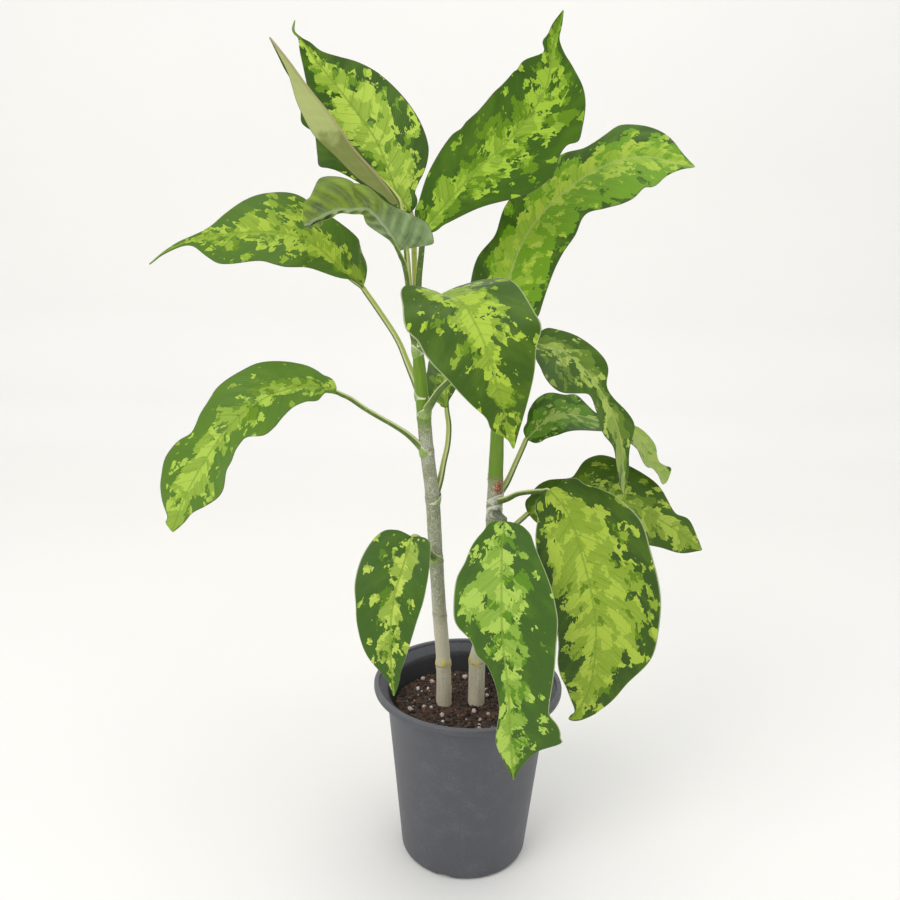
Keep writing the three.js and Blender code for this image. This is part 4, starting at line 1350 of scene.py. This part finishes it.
# ---- Middle right leaf, right cane --------------------------------------------------------
# A narrow leathery leaf that leaves the cane upwards on a short stalk, then twists over and
# hangs to the right.
grow_leaf(
    "middle_right_leaf", "leaf_mid_right", right_cane, 240,
    stalk=[(20, 6, 248), (26, 10, 261)],
    rib=[
        (32, 14, 275), (50, 22, 288), (77, 32, 284), (103, 38, 272), (116, 40, 255),
        (127, 40, 242),
    ],
    faces=[(0, -0.9, 0.5), (0, -0.35, 0.95), (0.6, -0.6, 0.5)],
    left=[
        (0.06, 7), (0.11, 11.5), (0.2, 16), (0.28, 14.5), (0.35, 16.5), (0.4, 11), (0.45, 6),
        (0.66, 9), (0.72, 10), (0.76, 10.5), (0.82, 10.5), (0.89, 5.5), (0.93, 7), (0.98, 10),
    ],
    right=[
        (0.06, 8.5), (0.15, 14), (0.28, 16), (0.4, 17), (0.6, 16), (0.74, 14), (0.84, 11),
        (0.87, 5.5), (0.93, 4.2), (0.98, 8),
    ],
    fold=0.2, droop=0, lobe=(2, 0, 2), seed=13, green=level(0.65), mottling=0.3, size=0.7,
    tones=((0.33, 0.43, 0.09), (0.11, 0.245, 0.015), (0.035, 0.095, 0.004)), rib_tone=PALE_RIB,
    lime=([(0, 0.15), (0.5, 0.15), (0.62, 0.35), (0.7, 1.1), (1, 1.3)],) * 2,
)

# ---- Drooping leaf, right cane ------------------------------------------------------------
# A leathery leaf that comes forward from the young green top of the cane and folds over
# downwards, waisted half way, on a short stalk.
grow_leaf(
    "drooping_leaf", "leaf_drooping", right_cane, 296,
    stalk=[(15, 0, 315), (22, -4, 330)],
    rib=[
        (31, -8, 337), (48, -16, 333), (62, -22, 322), (72, -26, 308), (80, -28, 291),
        (84, -28, 272), (86, -26, 252),
    ],
    faces=[(0.1, -0.7, 0.7), (0.4, -0.7, 0.5), (0.8, -0.6, 0.2)],
    left=[
        (0.04, 12), (0.12, 12.5), (0.2, 13.5), (0.32, 14), (0.37, 12), (0.43, 5), (0.5, 5),
        (0.6, 10), (0.66, 12), (0.7, 10), (0.74, 7), (0.8, 5), (0.88, 4.4), (0.95, 2.4),
    ],
    right=[
        (0.06, 12), (0.1, 17), (0.21, 27), (0.29, 30), (0.35, 27), (0.39, 18.5), (0.42, 11),
        (0.5, 12.5), (0.62, 16.5), (0.72, 10), (0.82, 10), (0.92, 7),
    ],
    fold=0.2, droop=0, lobe=(4, 0, 2), seed=14, green=level(0.4),
    tones=((0.35, 0.46, 0.08), (0.135, 0.229, 0.02), (0.045, 0.105, 0.005)), rib_tone=PALE_RIB,
    lime=(
        [(0, 0.2), (0.3, 0.05), (0.5, 0.05), (0.7, 0.1), (1, 0.5)],
        [(0, 0.25), (0.2, 0.2), (0.4, 0.25), (0.55, 0.65), (0.7, 0.8), (1, 0.9)],
    ),
)

# ---- Long arching leaf, right cane --------------------------------------------------------
# The longest leaf, leathery and broad: it grew last, at the top of the cane, rises behind
# the centre on a short stalk and arches to the upper right.
grow_leaf(
    "long_arching_leaf", "leaf_long_arching", right_cane, 322,
    stalk=[(12, 7, 330), (12, 13, 337)],
    rib=[
        (13, 22, 346), (20, 34, 376), (31, 44, 400), (49, 54, 420), (71, 62, 436),
        (99, 68, 445), (135, 70, 440),
    ],
    faces=[(0, -0.9, 0.5), (0.1, -0.8, 0.6), (0.2, -0.7, 0.6)],
    left=[
        (0.06, 21), (0.133, 22.5), (0.19, 22), (0.253, 17.5), (0.28, 17.5), (0.352, 21),
        (0.47, 21.5), (0.593, 20.2), (0.645, 17), (0.693, 18), (0.735, 21), (0.77, 25),
        (0.807, 25), (0.848, 24), (0.885, 21.5), (0.917, 17), (0.955, 8.5),
    ],
    right=[
        (0.06, 23), (0.16, 24.5), (0.233, 25), (0.305, 25.5), (0.405, 25.5), (0.497, 20.8),
        (0.565, 26), (0.64, 30), (0.705, 30), (0.787, 25.5), (0.83, 26), (0.863, 23),
        (0.895, 15), (0.953, 5),
    ],
    droop=0.05, lobe=(4, 0, 2), seed=15, ragged=2.2,
    tones=(LIME, (0.155, 0.325, 0.007), (0.035, 0.09, 0.003)), rib_tone=PALE_RIB,
    lime=(
        [(0, 0.3), (0.15, 0.42), (0.3, 0.4), (0.5, 0.42), (0.7, 0.42), (0.85, 0.35), (1, 0.5)],
        [(0, 0.2), (0.2, 0.25), (0.4, 0.2), (0.6, 0.2), (0.8, 0.3), (1, 0.5)],
    ),
    green=(
        [(0, 0.35), (0.3, 0.5), (0.7, 0.7), (1, 0.75)],
        [(0, 0.75), (0.3, 1.0), (0.7, 1.05), (1, 1.0)],
    ),
)

# ---- Floor, light and camera --------------------------------------------------------------
# A pale floor that runs up into a pale wall, soft light from above and in front, and the
# camera at the height and angle the plant is seen from.

FLOOR_WIDTH = 4.8
FLOOR_LINE = [
    (-2.2, 0), (0.75, 0), (0.9, 0.02), (1.02, 0.09), (1.1, 0.24), (1.12, 0.5), (1.12, 2.4),
]
sweep = bmesh.new()
points = [sweep.verts.new((-FLOOR_WIDTH / 2, y, z)) for y, z in FLOOR_LINE]
edges = [sweep.edges.new(pair) for pair in zip(points, points[1:])]
strip = bmesh.ops.extrude_edge_only(sweep, edges=edges)["geom"]
moved = [v for v in strip if isinstance(v, bmesh.types.BMVert)]
bmesh.ops.translate(sweep, vec=(FLOOR_WIDTH, 0, 0), verts=moved)
floor = piece_from("pale_floor", sweep)
paper = finish("pale floor", (0.86, 0.85, 0.82), Roughness=0.7)
cloud = paper.noise(paper.place(), 3, 2)
paper.give(Base_Color=paper.mixed(cloud, (0.88, 0.86, 0.82), (0.84, 0.83, 0.8)))
floor.data.materials.append(paper.material)

sky = bpy.data.worlds.new("soft room light")
bpy.context.scene.world = sky
sky.use_nodes = True
sky_light = sky.node_tree.nodes["Background"]
sky_light.inputs["Color"].default_value = (0.95, 0.97, 1, 1)
sky_light.inputs["Strength"].default_value = 0.72


def soft_light(name, place, height_aimed_at, size, power, colour):
    """A square lamp at a place, aimed at a point above the middle of the floor."""
    lamp = bpy.data.lights.new(name, "AREA")
    lamp.shape = "SQUARE"
    lamp.size = size
    lamp.energy = power
    lamp.color = colour
    holder = bpy.data.objects.new(name, lamp)
    bpy.context.scene.collection.objects.link(holder)
    holder.location = place
    aim = Vector((0, 0, height_aimed_at)) - Vector(place)
    holder.rotation_euler = aim.to_track_quat("-Z", "Y").to_euler()


soft_light("window light", (-1.1, -1.2, 1.5), 0.25, 1.2, 17, (1, 0.99, 0.97))
soft_light("top light", (0.3, 0.1, 1.9), 0.2, 1.4, 9.2, (1, 1, 1))
soft_light("fill light", (1.3, -1.3, 0.8), 0.25, 1.4, 3.6, (0.97, 0.99, 1))

PITCH = math.radians(14.3)
ROLL = math.radians(1.38)
EYE_PLACE = (-0.015, -0.524, 0.4035)
eye = bpy.data.cameras.new("camera")
eye.sensor_width = 36
eye.lens = 36
viewer = bpy.data.objects.new("camera", eye)
bpy.context.scene.collection.objects.link(viewer)
ahead = Vector((0, math.cos(PITCH), -math.sin(PITCH)))
level_up = Vector((0, math.sin(PITCH), math.cos(PITCH)))
across = math.cos(ROLL) * Vector((1, 0, 0)) + math.sin(ROLL) * level_up
up = math.cos(ROLL) * level_up - math.sin(ROLL) * Vector((1, 0, 0))
turn = Matrix((across, up, -ahead)).transposed().to_4x4()
viewer.matrix_world = Matrix.Translation(EYE_PLACE) @ turn
bpy.context.scene.camera = viewer
bpy.context.scene.view_settings.view_transform = "Standard"
